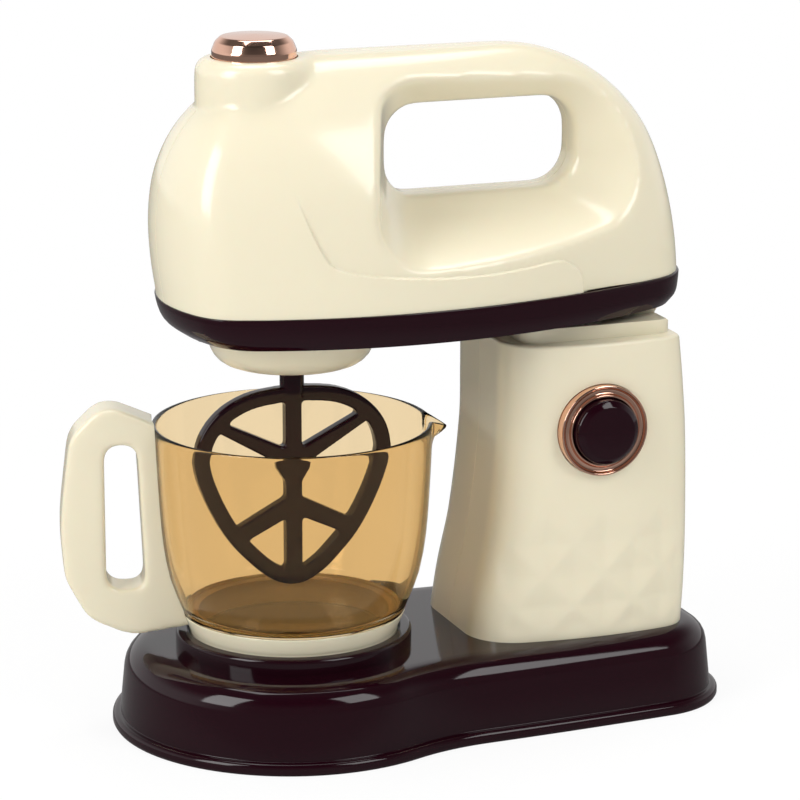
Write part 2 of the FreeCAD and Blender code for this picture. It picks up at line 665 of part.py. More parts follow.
SPLIT_SCREWS = [(BOWL_X - 28.0, 163.0), (BOWL_X + 60.0, 150.0), (BOWL_X + 110.0, 149.0)]
SKIRT_SCREWS = [(BOWL_X + x, side * y) for x, y in ((-32.0, 12.0), (100.0, 20.0)) for side in (-1, 1)]
SKIRT_WALL = 2.6
FLOOR_TOP_Z = HEAD_FLOOR_Z + WALL
BUSH_R = 5.0
GEAR_PLATE_Z = 134.0
GEAR_PLATE_T = 2.0
GEAR_COVER_Z = 151.5
GEAR_POSTS = [(BOWL_X + x, y) for x in (-19.0, 26.0) for y in (-13.0, 26.0)]
BOSS_SCREWS = [(BOWL_X + 15.0 * math.cos(math.radians(a)), 15.0 * math.sin(math.radians(a))) for a in (90, 210, 330)]
BUTTON_WELL_R = TOP_BUTTON_R + 0.4
GUIDE_PLATE_Z = 200.0
GUIDE_PLATE_T = 2.0
SWITCH_SEAT_Z = 187.5


def head_shells():
    outer = head_body(0.0).fuse(turret(0.0, TURRET_TOP_Z)).cut(grip_cutter(0.0))
    cavity = head_body(HEAD_WALL).fuse(turret(HEAD_WALL, TURRET_TOP_Z - HEAD_WALL)).cut(grip_cutter(HEAD_WALL))
    shell = outer.cut(cavity)
    shell = shell.cut(cyl(BUTTON_WELL_R, TURRET_TOP_Z - 10, TURRET_TOP_Z + 9, TURRET_X))
    for x, z in SPLIT_SCREWS:
        post = cyl_y(4.2, 0, 50, x, z).fuse(cyl_y(3.4, -50, 0, x, z)).common(outer)
        shell = shell.fuse(post)
        shell = shell.cut(cyl_y(SCREW_HEAD_R + 0.3, SCREW_SEAT_Y, 50, x, z))
        shell = shell.cut(cyl_y(SCREW_R + 0.2, 0, SCREW_SEAT_Y + 1, x, z))
        shell = shell.cut(cyl_y(SCREW_R + SCREW_FIT, -8, 0.5, x, z))
    for x, y in SKIRT_SCREWS:
        side = 1 if y > 0 else -1
        rib_x = x - 9 if x < BOWL_X else x
        rib_y = y if x < BOWL_X else side * 40
        rib = box(min(rib_x, x) - 1, x + 1, min(y, rib_y) - 1, max(y, rib_y) + 1, HEAD_SPLIT_Z, 149.0)
        shell = shell.fuse(cyl(3.4, HEAD_SPLIT_Z, 150.0, x, y).fuse(rib).common(outer))
        shell = shell.cut(cyl(SCREW_R + SCREW_FIT, HEAD_SPLIT_Z - 1, 148.0, x, y))
    return shell


def skirt_body(inset):
    rows = [
        (HEAD_FLOOR_Z, -35.6, 41.2, 128.6, 23.0),
        (HEAD_FLOOR_Z + 3.0, -39.8, 42.2, 131.2, 24.2),
        (HEAD_SPLIT_Z, -42.5, 42.6, 132.3, 24.6),
    ]
    wires = []
    for z, nose, half_w, rear, rear_r in rows:
        wires.append(head_plan(BOWL_X + nose + inset, half_w - inset, BOWL_X + rear - inset, rear_r - inset, z))
    return Part.makeLoft(wires, True, True)


def skirts():
    """The dark lower housing of the head, with its floor, its screw posts and the lugs of the hinge."""
    hollow = skirt_body(SKIRT_WALL).common(box(-200, 200, -100, 100, FLOOR_TOP_Z, HEAD_SPLIT_Z + 1))
    tray = skirt_body(0.0).cut(hollow)
    for x, y in GEAR_POSTS:
        tray = tray.fuse(cyl(3.4, FLOOR_TOP_Z - 0.5, GEAR_PLATE_Z, x, y))
        tray = tray.cut(cyl(SCREW_R + SCREW_FIT, FLOOR_TOP_Z - 1, GEAR_PLATE_Z + 1, x, y))
    for x, y in SKIRT_SCREWS:
        tray = tray.fuse(cyl(3.4, FLOOR_TOP_Z - 0.5, HEAD_SPLIT_Z, x, y))
        tray = tray.cut(cyl(SCREW_R + 0.2, HEAD_FLOOR_Z - 1, HEAD_SPLIT_Z + 1, x, y))
        tray = tray.cut(cyl(SCREW_HEAD_R + 0.3, HEAD_FLOOR_Z - 1, HEAD_FLOOR_Z + SCREW_HEAD_H + 0.1, x, y))
    for x, y in BOSS_SCREWS:
        tray = tray.cut(cyl(SCREW_R + 0.2, HEAD_FLOOR_Z - 1, FLOOR_TOP_Z + 1, x, y))
    tray = tray.cut(cyl(BUSH_R + 0.02, HEAD_FLOOR_Z - 1, FLOOR_TOP_Z + 1, BOWL_X))
    slot_in = EAR_IN_Y - PART_GAP
    slot_out = EAR_IN_Y + EAR_T + 0.8
    for side in (-1, 1):
        lug_y0, lug_y1 = sorted((side * (slot_in - 4.0), side * slot_in))
        lug = cyl_y(EAR_R - 1, lug_y0, lug_y1, HINGE_X, HINGE_Z)
        foot = box(HINGE_X - EAR_R + 1, HINGE_X + EAR_R - 1, lug_y0, lug_y1, HEAD_FLOOR_Z, HINGE_Z)
        tray = tray.fuse(lug.fuse(foot))
        y0, y1 = sorted((side * slot_in, side * slot_out))
        tray = tray.cut(box(HINGE_X - EAR_R - 3.5, HINGE_X + EAR_R + 3.5, y0, y1, HEAD_FLOOR_Z - 1, FLOOR_TOP_Z + 1))
    tray = tray.cut(cyl_y(HINGE_PIN_R + 1.2, -slot_in - 1, slot_in + 1, HINGE_X, HINGE_Z))
    return tray.cut(box(HINGE_X - 8, HINGE_X + 6, -4, 4, HEAD_FLOOR_Z - 1, FLOOR_TOP_Z + 6))


def hinge_bushes():
    bushes = []
    for side in (-1, 1):
        y0, y1 = sorted((side * (EAR_IN_Y - PART_GAP - 4.0), side * (EAR_IN_Y - PART_GAP)))
        bushes.append(tube_y(HINGE_PIN_R + 1.18, HINGE_PIN_R + RUN_FIT, y0, y1, HINGE_X, HINGE_Z))
    return group(bushes)


def boss_form(low_r, top_r, low_z, top_z, edge_r):
    """The cone under the head as a solid, with its lower edge rounded."""
    section = rounded_outline([(0, low_z, 0), (low_r, low_z, edge_r), (top_r, top_z, 0), (0, top_z, 0)], 0)
    solid = Part.Face(section).revolve(V(0, 0, 0), Z_AXIS, 360)
    solid.translate(V(BOWL_X, 0, 0))
    return solid


def boss_cover():
    outer = boss_form(BOSS_LOW_R, BOSS_TOP_R, BOSS_LOW_Z, HEAD_FLOOR_Z, BOSS_EDGE_R)
    inner = boss_form(BOSS_LOW_R - 1.6, BOSS_TOP_R - WALL, BOSS_LOW_Z + WALL, HEAD_FLOOR_Z + 0.1, BOSS_EDGE_R - WALL)
    shell = outer.cut(inner)
    for x, y in BOSS_SCREWS:
        shell = shell.fuse(cyl(3.0, BOSS_LOW_Z + 1, HEAD_FLOOR_Z, x, y))
        shell = shell.cut(cyl(SCREW_R + SCREW_FIT, BOSS_LOW_Z + 5, HEAD_FLOOR_Z + 1, x, y))
    return shell.cut(cyl(STUB_R + PART_GAP + 0.05, BOSS_LOW_Z - 1, BOSS_LOW_Z + 4, BOWL_X))


# Drive

WHEEL_R = GEAR_MODULE * WHEEL_TEETH / 2
PINION_R = GEAR_MODULE * PINION_TEETH / 2
CENTRES = WHEEL_R + PINION_R
WHEEL_TIP = 0.75 * GEAR_MODULE
PINION_TIP = 0.95 * GEAR_MODULE
ROOT_ROOM = 0.25 * GEAR_MODULE
PRESSURE = math.radians(20.0)
SECOND_XY = (BOWL_X + CENTRES, 0.0)
FIRST_XY = (BOWL_X + CENTRES / 2, CENTRES * math.sin(math.radians(60)))
MOTOR_XY = (BOWL_X - CENTRES / 2, CENTRES * math.sin(math.radians(60)))
LEVEL = FACE_W + 1.0
GEAR_BORE_FIT = 0.03


def gear(teeth, addendum, dedendum, width, turn):
    """A spur gear with involute flanks about Z from z = 0, with one tooth's middle at the angle turn in degrees."""
    pitch = GEAR_MODULE * teeth / 2
    base = pitch * math.cos(PRESSURE)
    tip, root = pitch + addendum, pitch - dedendum
    half_tooth = (math.pi * GEAR_MODULE / 2 - BACKLASH / 2) / (2 * pitch)
    inv = math.tan(PRESSURE) - PRESSURE

    def flank_angle(r):
        roll = math.acos(min(1.0, base / r))
        return half_tooth + inv - (math.tan(roll) - roll)

    def at(r, a):
        return (r * math.cos(a), r * math.sin(a), 0.0)

    low = max(base, root)
    mid = (low + tip) / 2
    step = 2 * math.pi / teeth
    edges = []
    for k in range(teeth):
        c = k * step + math.radians(turn)
        a_low, a_mid, a_tip = flank_angle(low), flank_angle(mid), flank_angle(tip)
        if root < base:
            edges.append(line(at(root, c - a_low), at(low, c - a_low)))
        edges.append(arc(at(low, c - a_low), at(mid, c - a_mid), at(tip, c - a_tip)))
        edges.append(arc(at(tip, c - a_tip), at(tip, c), at(tip, c + a_tip)))
        edges.append(arc(at(tip, c + a_tip), at(mid, c + a_mid), at(low, c + a_low)))
        if root < base:
            edges.append(line(at(low, c + a_low), at(root, c + a_low)))
        edges.append(arc(at(root, c + a_low), at(root, c + step / 2), at(root, c + step - a_low)))
    return Part.Face(Part.Wire(edges)).extrude(V(0, 0, width))


def wheel(turn=0.0):
    return gear(WHEEL_TEETH, WHEEL_TIP, PINION_TIP + ROOT_ROOM, FACE_W, turn)


def pinion(turn, width):
    return gear(PINION_TEETH, PINION_TIP, WHEEL_TIP + ROOT_ROOM, width, turn)


def placed(shape, x, y, z):
    shape.translate(V(x, y, z))
    return shape


def compound_gear(xy, level, pinion_turn, wheel_turn):
    """A pinion on one level under a wheel on the next, with a running bore for its pin."""
    low_z = GEAR_Z + level * LEVEL
    body = placed(pinion(pinion_turn, LEVEL), *xy, low_z).fuse(placed(wheel(wheel_turn), *xy, low_z + LEVEL))
    return body.cut(cyl(AXLE_R + RUN_FIT, low_z - 1, low_z + LEVEL + FACE_W + 1, *xy))


def output_gear():
    return placed(wheel(0.0), BOWL_X, 0.0, GEAR_Z).cut(cyl(SPINDLE_R + GEAR_BORE_FIT, GEAR_Z - 1, GEAR_Z + 9, BOWL_X))


def gear_plan(z, thickness):
    x0, x1 = GEAR_POSTS[0][0] - 4.0, GEAR_POSTS[2][0] + 4.0
    y0, y1 = GEAR_POSTS[0][1] - 4.0, GEAR_POSTS[1][1] + 4.0
    plate = box(x0, x1, y0, y1, z, z + thickness)
    return fillet_edges(plate, 3.5, lambda p: abs(p.z - z - thickness / 2) < 0.01)


def gearbox():
    plate = gear_plan(GEAR_PLATE_Z, GEAR_PLATE_T).cut(cyl(BUSH_R + 0.5, GEAR_PLATE_Z - 1, GEAR_PLATE_Z + 3, BOWL_X))
    cover = gear_plan(GEAR_COVER_Z, GEAR_PLATE_T)
    cover = cover.cut(cyl(MOTOR_BOSS_R + 0.1, GEAR_COVER_Z - 1, GEAR_COVER_Z + 3, *MOTOR_XY))
    pins = []
    for xy in (FIRST_XY, SECOND_XY):
        plate = plate.cut(cyl(AXLE_R + GEAR_BORE_FIT, GEAR_PLATE_Z - 1, GEAR_PLATE_Z + 3, *xy))
        cover = cover.cut(cyl(AXLE_R + GEAR_BORE_FIT, GEAR_COVER_Z - 1, GEAR_COVER_Z + 3, *xy))
        pins.append(cyl(AXLE_R, GEAR_PLATE_Z, GEAR_COVER_Z + GEAR_PLATE_T, *xy))
    for x, y in GEAR_POSTS:
        cover = cover.fuse(cyl(3.0, GEAR_PLATE_Z + GEAR_PLATE_T, GEAR_COVER_Z + 0.5, x, y))
        cover = cover.cut(cyl(SCREW_R + 0.2, GEAR_PLATE_Z, GEAR_COVER_Z + 3, x, y))
        plate = plate.cut(cyl(SCREW_R + 0.2, GEAR_PLATE_Z - 1, GEAR_PLATE_Z + 3, x, y))
    return plate, cover, group(pins)


MOTOR_BOSS_R = 3.0
MOTOR_Z = GEAR_COVER_Z + GEAR_PLATE_T
SHAFT_R = 1.0
CAP_T = 2.5


def motor_parts():
    x, y = MOTOR_XY
    can = cyl(MOTOR_R, MOTOR_Z, MOTOR_Z + MOTOR_H, x, y)
    can = can.fuse(cyl(MOTOR_BOSS_R, GEAR_COVER_Z + 0.4, MOTOR_Z + 0.5, x, y))
    can = can.cut(cyl(MOTOR_R - 0.8, MOTOR_Z + 0.8, MOTOR_Z + MOTOR_H + 1, x, y))
    can = can.cut(cyl(SHAFT_R + RUN_FIT, GEAR_COVER_Z - 1, MOTOR_Z + 3, x, y))
    cap = cyl(MOTOR_R, MOTOR_Z + MOTOR_H, MOTOR_Z + MOTOR_H + CAP_T, x, y)
    cap = cap.fuse(cyl(MOTOR_R - 0.85, MOTOR_Z + MOTOR_H - 2, MOTOR_Z + MOTOR_H + 0.5, x, y))
    cap = cap.cut(cyl(SHAFT_R + RUN_FIT, MOTOR_Z + MOTOR_H - 3, MOTOR_Z + MOTOR_H + CAP_T - 0.8, x, y))
    low_z = GEAR_Z + 2 * LEVEL
    shaft = cyl(SHAFT_R, low_z, MOTOR_Z + MOTOR_H + CAP_T - 1.2, x, y)
    rotor = cyl(MOTOR_R - 2.6, MOTOR_Z + 5, MOTOR_Z + MOTOR_H - 5, x, y)
    drive = placed(pinion(15.0, FACE_W), x, y, low_z).cut(cyl(SHAFT_R, low_z - 1, low_z + FACE_W + 1, x, y))
    return can, cap, shaft.fuse(rotor), drive


SPINDLE_LOW_Z = 113.0
SPINDLE_TOP_Z = 141.5
STUB_TOP_Z = 126.0
BUSH_LOW_Z = 127.6
BUSH_TOP_Z = 134.8


def spindle_bush():
    tube_part = tube(BUSH_R, SPINDLE_R + RUN_FIT, BUSH_LOW_Z, BUSH_TOP_Z, BOWL_X)
    return tube_part.fuse(tube(BUSH_R + 2.2, SPINDLE_R + RUN_FIT, FLOOR_TOP_Z, FLOOR_TOP_Z + 1.2, BOWL_X))


# Half width and height of the beater's outer outline, from the top to the bottom
BEATER_OUTLINE = [(15.5, 109.0), (27.5, 101.5), (33.0, 89.0), (30.9, 79.0), (24.2, 65.0), (15.2, 54.0), (7.5, 47.6)]


def beater():
    mid_y = -BEATER_T / 2
    flank = [V(x, mid_y, z) for x, z in BEATER_OUTLINE]
    right = [Part.Arc(*flank[i:i + 3]).toShape() for i in range(0, len(flank) - 2, 2)]
    left = [edge.mirror(V(0, 0, 0), X_AXIS) for edge in right]
    ends = [Part.Arc(V(-q.x, mid_y, q.z), V(0, mid_y, z), q).toShape()
            for q, z in ((flank[0], BEATER_TOP_Z), (flank[-1], BEATER_LOW_Z))]
    outline = Part.Wire(Part.__sortEdges__(right + left + ends))
    plate = Part.Face(outline)
    window = plate.makeOffset2D(-BEATER_BAR)

    def bar(points):
        wire = Part.makePolygon([V(x, mid_y, z) for x, z in points] + [V(points[0][0], mid_y, points[0][1])])
        return Part.Face(wire).extrude(V(0, BEATER_T, 0))

    half_bar = BEATER_BAR / 2
    frame = plate.cut(window).extrude(V(0, BEATER_T, 0))
    bars = [bar([(-half_bar, BEATER_LOW_Z + 2), (half_bar, BEATER_LOW_Z + 2),
                 (half_bar, BEATER_TOP_Z - 2), (-half_bar, BEATER_TOP_Z - 2)])]
    for side in (-1, 1):
        bars.append(bar([(0, 91.5), (side * 22.0, 104.2), (side * 25.5, 100.7), (side * 4.5, 86.0), (0, 80.0)]))
        bars.append(bar([(0, 76.5), (side * 23.0, 65.3), (side * 21.0, 60.9), (0, 71.5)]))
    solid = frame
    for one in bars:
        solid = solid.fuse(one.common(plate.extrude(V(0, BEATER_T, 0))))
    solid.translate(V(BOWL_X, 0, 0))
    stub = cyl(STUB_R, BEATER_TOP_Z - 3.5, STUB_TOP_Z, BOWL_X)
    return solid.fuse(stub).cut(cyl(SPINDLE_R + 0.02, SPINDLE_LOW_Z - 0.5, STUB_TOP_Z + 1, BOWL_X))


# Top button

TOP_STEM_END = 198.0


def top_button():
    body = turned([
        (0, TOP_BUTTON_Z + TOP_CROWN),
        (TOP_DISC_R - 2.5, TOP_BUTTON_Z + TOP_CROWN - 0.3),
        (TOP_DISC_R - 0.6, TOP_BUTTON_Z + 0.9),
        (TOP_BUTTON_R - 0.9, TURRET_TOP_Z + 4.6),
        (TOP_BUTTON_R - 0.2, TURRET_TOP_Z + 3.8),
        (TOP_BUTTON_R, TURRET_TOP_Z + 2.9),
        (TOP_BUTTON_R, TURRET_TOP_Z - 4.0),
        (TOP_BUTTON_R - 1.8, TURRET_TOP_Z - 4.0),
        (TOP_BUTTON_R - 1.8, TURRET_TOP_Z + 0.5),
        (TOP_STEM_R, TURRET_TOP_Z + 0.5),
        (TOP_STEM_R, TOP_STEM_END),
        (0, TOP_STEM_END),
    ], TURRET_X)
    return body


def top_spring():
    z0 = GUIDE_PLATE_Z + GUIDE_PLATE_T
    z1 = TURRET_TOP_Z + 0.5
    coil = spring(5.5, COIL_WIRE_R, z1 - z0 - 2 * COIL_WIRE_R, 6.0)
    coil.translate(V(TURRET_X, 0, z0 + COIL_WIRE_R))
    return coil


def top_switch_parts():
    cavity = head_body(HEAD_WALL + 0.1)
    z0, z1 = GUIDE_PLATE_Z, GUIDE_PLATE_Z + GUIDE_PLATE_T
    plate = cavity.common(box(TURRET_X - 12, TURRET_X + 16, -40, 40, z0, z1))
    for x in (TURRET_X - 9, TURRET_X + 9):
        plate = plate.fuse(box(x - 0.9, x + 0.9, -4, 4, SWITCH_SEAT_Z, z0 + 0.5))
    plate = plate.fuse(box(TURRET_X - 9.9, TURRET_X + 9.9, -4, 4, SWITCH_SEAT_Z, SWITCH_SEAT_Z + 1.8))
    plate = plate.cut(cyl(TOP_STEM_R + RUN_FIT, z0 - 1, z1 + 1, TURRET_X))
    top = TOP_STEM_END - TOP_TRAVEL - 0.4
    switch = box(TURRET_X - 3.5, TURRET_X + 3.5, -3.5, 3.5, SWITCH_SEAT_Z + 1.8, top - 1.0)
    switch = switch.fuse(cyl(1.6, top - 1.2, top, TURRET_X))
    return plate, switch


# Bowl

# Outer radius and height of the bowl's wall, from the foot to the rim
BOWL_OUTLINE = [(36.0, 37.0), (37.8, 41.5), (40.8, 50.0), (42.9, 62.0), (44.2, 80.0), (BOWL_RIM_R, BOWL_RIM_Z)]


def wall_curve(shift, top_z):
    points = [V(r - shift, 0, z) for r, z in BOWL_OUTLINE]
    curve = Part.BSplineCurve()
    curve.interpolate(points)
    top = points[-1]
    edges = [curve.toShape()]
    if top_z > top.z:
        edges.append(Part.makeLine(top, V(top.x, 0, top_z)))
    return edges, points[0], V(top.x, 0, max(top_z, top.z))


def bowl_solid(shift, floor_z, floor_r, top_z):
    """The bowl's outside, or its hollow when shifted in by the wall, as a solid about the bowl's own axis."""
    edges, low, top = wall_curve(shift, top_z)
    corner = V(floor_r, 0, floor_z)
    axis_low, axis_top = V(0, 0, floor_z), V(0, 0, top.z)
    edges = [Part.makeLine(axis_low, corner), Part.makeLine(corner, low)] + edges
    edges += [Part.makeLine(top, axis_top), Part.makeLine(axis_top, axis_low)]
    return Part.Face(Part.Wire(edges)).revolve(V(0, 0, 0), Z_AXIS, 360)


def spout_solid(shift):
    """The pouring lip: a curved wedge that runs out from the wall to the tip at the rim."""
    def section(r, reach, half_angle, z):
        a = math.radians(half_angle)
        left = (r * math.cos(a), -r * math.sin(a), z)
        right = (r * math.cos(a), r * math.sin(a), z)
        return Part.Wire([arc(left, (r + reach, 0, z), right), line(right, left)])
    rim = section(BOWL_RIM_R - 1.0 - shift, SPOUT_REACH + 1.0, SPOUT_HALF_ANGLE, BOWL_RIM_Z + shift / 10)
    low = section(BOWL_RIM_R - 2.4 - shift, 1.0, 4.0, BOWL_RIM_Z - SPOUT_DROP + shift)
    return Part.makeLoft([low, rim], True, True)


# Distance from the bowl's axis, height and rounding at the corners of the bowl's handle, from the rim to the foot
HANDLE_CORNERS = [
    (36.0, 97.6, 0.0),
    (60.2, 107.9, 9.0),
    (71.4, 97.1, 12.0),
    (75.0, 68.4, 90.0),
    (73.6, 50.8, 12.0),
    (66.6, 37.5, 12.0),
    (53.0, 31.2, 16.0),
    (36.0, 33.6, 0.0),
]


def to_bowl(shape):
    shape.rotate(V(0, 0, 0), Z_AXIS, BOWL_TURN)
    shape.translate(V(BOWL_X, 0, 0))
    return shape


def bowl_parts():
    outside = bowl_solid(0.0, BOWL_FLOOR_Z, 34.6, BOWL_RIM_Z)
    hollow = bowl_solid(BOWL_WALL, BOWL_FLOOR_Z + BOWL_WALL, 33.4, BOWL_RIM_Z + 1)
    bowl = outside.fuse(spout_solid(0.0)).cut(hollow).cut(spout_solid(BOWL_WALL))
    foot = turned([
        (31.0, SEAT_FLOOR_Z + PART_GAP),
        (FOOT_R, SEAT_FLOOR_Z + PART_GAP),
        (FOOT_R, 31.2),
        (FOOT_TOP_R, FOOT_TOP_Z),
        (BOWL_OUTLINE[0][0], FOOT_TOP_Z),
        (34.6, BOWL_FLOOR_Z),
        (31.0, BOWL_FLOOR_Z),
    ])
    half_w = HANDLE_W / 2
    outline = rounded_outline([(-x, z, r) for x, z, r in HANDLE_CORNERS], -half_w)
    loop = Part.Face(outline).extrude(V(0, HANDLE_W, 0))
    loop = fillet_edges(loop, HANDLE_EDGE_R, lambda p: abs(abs(p.y) - half_w) < 0.01 and p.x < -36.1)
    gap = Part.Face(rounded_rect(-HANDLE_GAP_OUT, -HANDLE_GAP_IN, HANDLE_GAP_LOW, HANDLE_GAP_HIGH,
                                 HANDLE_GAP_R, HANDLE_GAP_R, -20.0))
    loop = loop.cut(gap.extrude(V(0, 40, 0)))
    loop = loop.cut(bowl_solid(0.0, BOWL_FLOOR_Z, 34.6, 120.0))
    loop = loop.cut(turned([(0, 20), (FOOT_R, 20), (FOOT_R, 31.2), (FOOT_TOP_R, FOOT_TOP_Z), (0, FOOT_TOP_Z)]))
    return to_bowl(bowl), to_bowl(loop), to_bowl(foot)


def screw_set(points, length, z, direction=Z_AXIS):
    return [screw(length, x, y, z, direction) for x, y in points]


def wires():
    column_path = [(FOOT_WIRE_X, 0, TRAY_TOP_Z + 0.2), (FOOT_WIRE_X, 0, 60), (BOWL_X + 86, -1.2, 78), (SIDE_X, -1.2, 84),
                   (SIDE_X + 9, -1.2, 95), (BOWL_X + 105.5, 0, 106), (BOWL_X + 105.5, 0, 119), (NECK_WIRE_X, 0, 119.2),
                   (NECK_WIRE_X, 0, NECK_TOP_Z + 1), (HINGE_X, 0, HINGE_Z - 0.6)]
    head_path = [(HINGE_X, 0, HINGE_Z + 0.6), (HINGE_X, 0, HINGE_Z + 6), (HINGE_X - 8, 0, 142.5), (BOWL_X + 45, 8, 142.5),
                 (BOWL_X + 36, 24, 145), (BOWL_X + 32.5, 26, 156), (BOWL_X + 22, 26, 161), (BOWL_X + 12, 22, 183.5),
                 (MOTOR_XY[0] + 4, 14, 183.5), (MOTOR_XY[0] + 4, 14, MOTOR_Z + MOTOR_H + CAP_T + 0.1)]
    return rod_path(column_path, WIRE_R), rod_path(head_path, WIRE_R)


def export(name, shape):
    shape.exportStep("parts/" + name + ".step")
    print(name, "solids", len(shape.Solids), "valid", shape.isValid(), "volume %.0f" % shape.Volume)


def main():
    os.makedirs("parts", exist_ok=True)
    screw_z = SCREW_HEAD_H + 0.2
    export("base_shell", base_shell())
    export("base_cover", base_cover())
    export("cover_screws", group(screw_set(COVER_SCREWS, 11.0, screw_z)))
    tray, cells, plates, coils = battery_parts()
    export("battery_box", tray)
    export("batteries", cells)
    export("battery_contacts", plates)
    export("battery_springs", coils)
    export("battery_door", battery_door())
    export("door_screw", screw(9.0, DOOR_SCREW_X, 0.0, screw_z))

    column = column_shell()
    export("column_shell_left", half(column, -1))
    export("column_shell_right", half(column, 1))
    column_screws = [screw(SCREW_SEAT_Y + 7.0, x, SCREW_SEAT_Y, z, V(0, -1, 0)) for x, z in COLUMN_SCREWS]
    column_screws += screw_set(NECK_SCREWS, 5.6, COLUMN_TOP_Z - COLUMN_WALL)
    export("column_screws", group(column_screws))
    export("column_foot_screws", group(screw_set(FOOT_SCREWS, 12.0, DECK_Z - BASE_WALL)))
    export("hinge_bracket", hinge_bracket())
    pin_half = EAR_IN_Y + EAR_T + 0.4
    export("hinge_pin", cyl_y(HINGE_PIN_R, -pin_half, -4.6, HINGE_X, HINGE_Z).fuse(
        cyl_y(HINGE_PIN_R, 4.6, pin_half, HINGE_X, HINGE_Z)))
    export("hinge_bushes", hinge_bushes())

    export("switch_bezel", switch_bezel())
    export("side_button", side_button())
    export("side_button_spring", side_spring())
    export("side_switch", side_switch())
    export("switch_bracket", switch_bracket())

    shell = head_shells()
    export("head_shell_left", half(shell, -1))
    export("head_shell_right", half(shell, 1))
    skirt = skirts()
    export("skirt_left", half(skirt, -1))
    export("skirt_right", half(skirt, 1))
    export("boss_cover", boss_cover())
    head_screws = [screw(SCREW_SEAT_Y + 7.0, x, SCREW_SEAT_Y, z, V(0, -1, 0)) for x, z in SPLIT_SCREWS]
    head_screws += screw_set(SKIRT_SCREWS, 15.0, HEAD_FLOOR_Z + SCREW_HEAD_H + 0.1)
    export("head_screws", group(head_screws))
    export("boss_screws", group(screw_set(BOSS_SCREWS, 8.5, FLOOR_TOP_Z, V(0, 0, -1))))

    plate, cover, pins = gearbox()
    export("gearbox_plate", plate)
    export("gearbox_cover", cover)
    export("gear_pins", pins)
    export("gearbox_screws", group(screw_set(GEAR_POSTS, 20.0, GEAR_COVER_Z + GEAR_PLATE_T, V(0, 0, -1))))
    can, cap, shaft, drive = motor_parts()
    export("motor_can", can)
    export("motor_cap", cap)
    export("motor_shaft", shaft)
    export("motor_pinion", drive)
    export("first_gear", compound_gear(FIRST_XY, 1, 285.0, 0.0))
    export("second_gear", compound_gear(SECOND_XY, 0, 165.0, 0.0))
    export("output_gear", output_gear())
    export("spindle", cyl(SPINDLE_R, SPINDLE_LOW_Z, SPINDLE_TOP_Z, BOWL_X))
    export("spindle_bush", spindle_bush())
    export("spindle_clip", tube(SPINDLE_R + 1.8, SPINDLE_R + 0.02, STUB_TOP_Z + 0.3, STUB_TOP_Z + 1.1, BOWL_X))
    export("beater", beater())

    guide, switch = top_switch_parts()
    export("top_button", top_button())
    export("top_button_spring", top_spring())
    export("top_switch", switch)
    export("top_switch_bracket", guide)

    column_wire, head_wire = wires()
    export("column_wire", column_wire)
    export("head_wire", head_wire)

    bowl, handle, foot = bowl_parts()
    export("bowl", bowl)
    export("bowl_handle", handle)
    export("bowl_foot_ring", foot)


main()
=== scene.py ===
"""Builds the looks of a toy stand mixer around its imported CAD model."""

import json
import math

import bmesh
import bpy
from bpy.props import FloatProperty, FloatVectorProperty, IntProperty, PointerProperty
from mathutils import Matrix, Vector


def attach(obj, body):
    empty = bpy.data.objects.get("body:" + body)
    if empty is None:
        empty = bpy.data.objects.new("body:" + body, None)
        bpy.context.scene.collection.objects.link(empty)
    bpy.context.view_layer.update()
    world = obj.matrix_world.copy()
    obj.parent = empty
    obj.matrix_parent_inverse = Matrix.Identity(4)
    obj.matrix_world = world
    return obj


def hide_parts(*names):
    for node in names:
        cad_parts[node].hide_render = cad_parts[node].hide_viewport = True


bl_info = {
    "name": "Toy Stand Mixer",
    "version": (1, 0, 0),
    "blender": (4, 5, 0),
    "location": "View3D > Sidebar > Mixer",
    "description": "Models and finishes a toy stand mixer piece by piece around its packed frame",
    "category": "Add Mesh",
}

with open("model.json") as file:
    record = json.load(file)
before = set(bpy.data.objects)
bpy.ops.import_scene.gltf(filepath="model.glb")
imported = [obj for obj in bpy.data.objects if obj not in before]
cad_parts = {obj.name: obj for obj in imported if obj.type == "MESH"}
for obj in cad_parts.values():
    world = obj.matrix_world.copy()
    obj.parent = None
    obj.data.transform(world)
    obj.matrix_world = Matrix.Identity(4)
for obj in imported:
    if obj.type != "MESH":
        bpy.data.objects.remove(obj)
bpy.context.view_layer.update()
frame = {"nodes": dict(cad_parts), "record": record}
MM = 0.001
BOWL_X = -41.0
# Radius of the small ring that stands for a point on a turned piece's axis
AXIS_R = 0.02


# Sizes and colours that a user would change

class MixerSizes(bpy.types.PropertyGroup):
    head_voxel: FloatProperty(
        name="Head detail", description="Grid size of the head's smooth skin",
        default=1.1 * MM, unit="LENGTH")
    head_softness: IntProperty(
        name="Head softness", description="Smoothing rounds on the head's edges", default=12, min=0)
    grip_softness: IntProperty(
        name="Grip softness", description="Extra smoothing rounds round the hand opening", default=7, min=0)
    ledge_depth: FloatProperty(
        name="Ledge depth", description="Height of the step round the head's side panel",
        default=0.8 * MM, unit="LENGTH")
    seam_width: FloatProperty(
        name="Seam width", description="Width of the groove between two shell halves",
        default=0.3 * MM, unit="LENGTH")
    facet_depth: FloatProperty(
        name="Facet depth", description="Depth of the cut pattern low on the column",
        default=1.2 * MM, unit="LENGTH")
    spout_reach: FloatProperty(
        name="Spout reach", description="How far the bowl's spout stands out",
        default=5.0 * MM, unit="LENGTH")


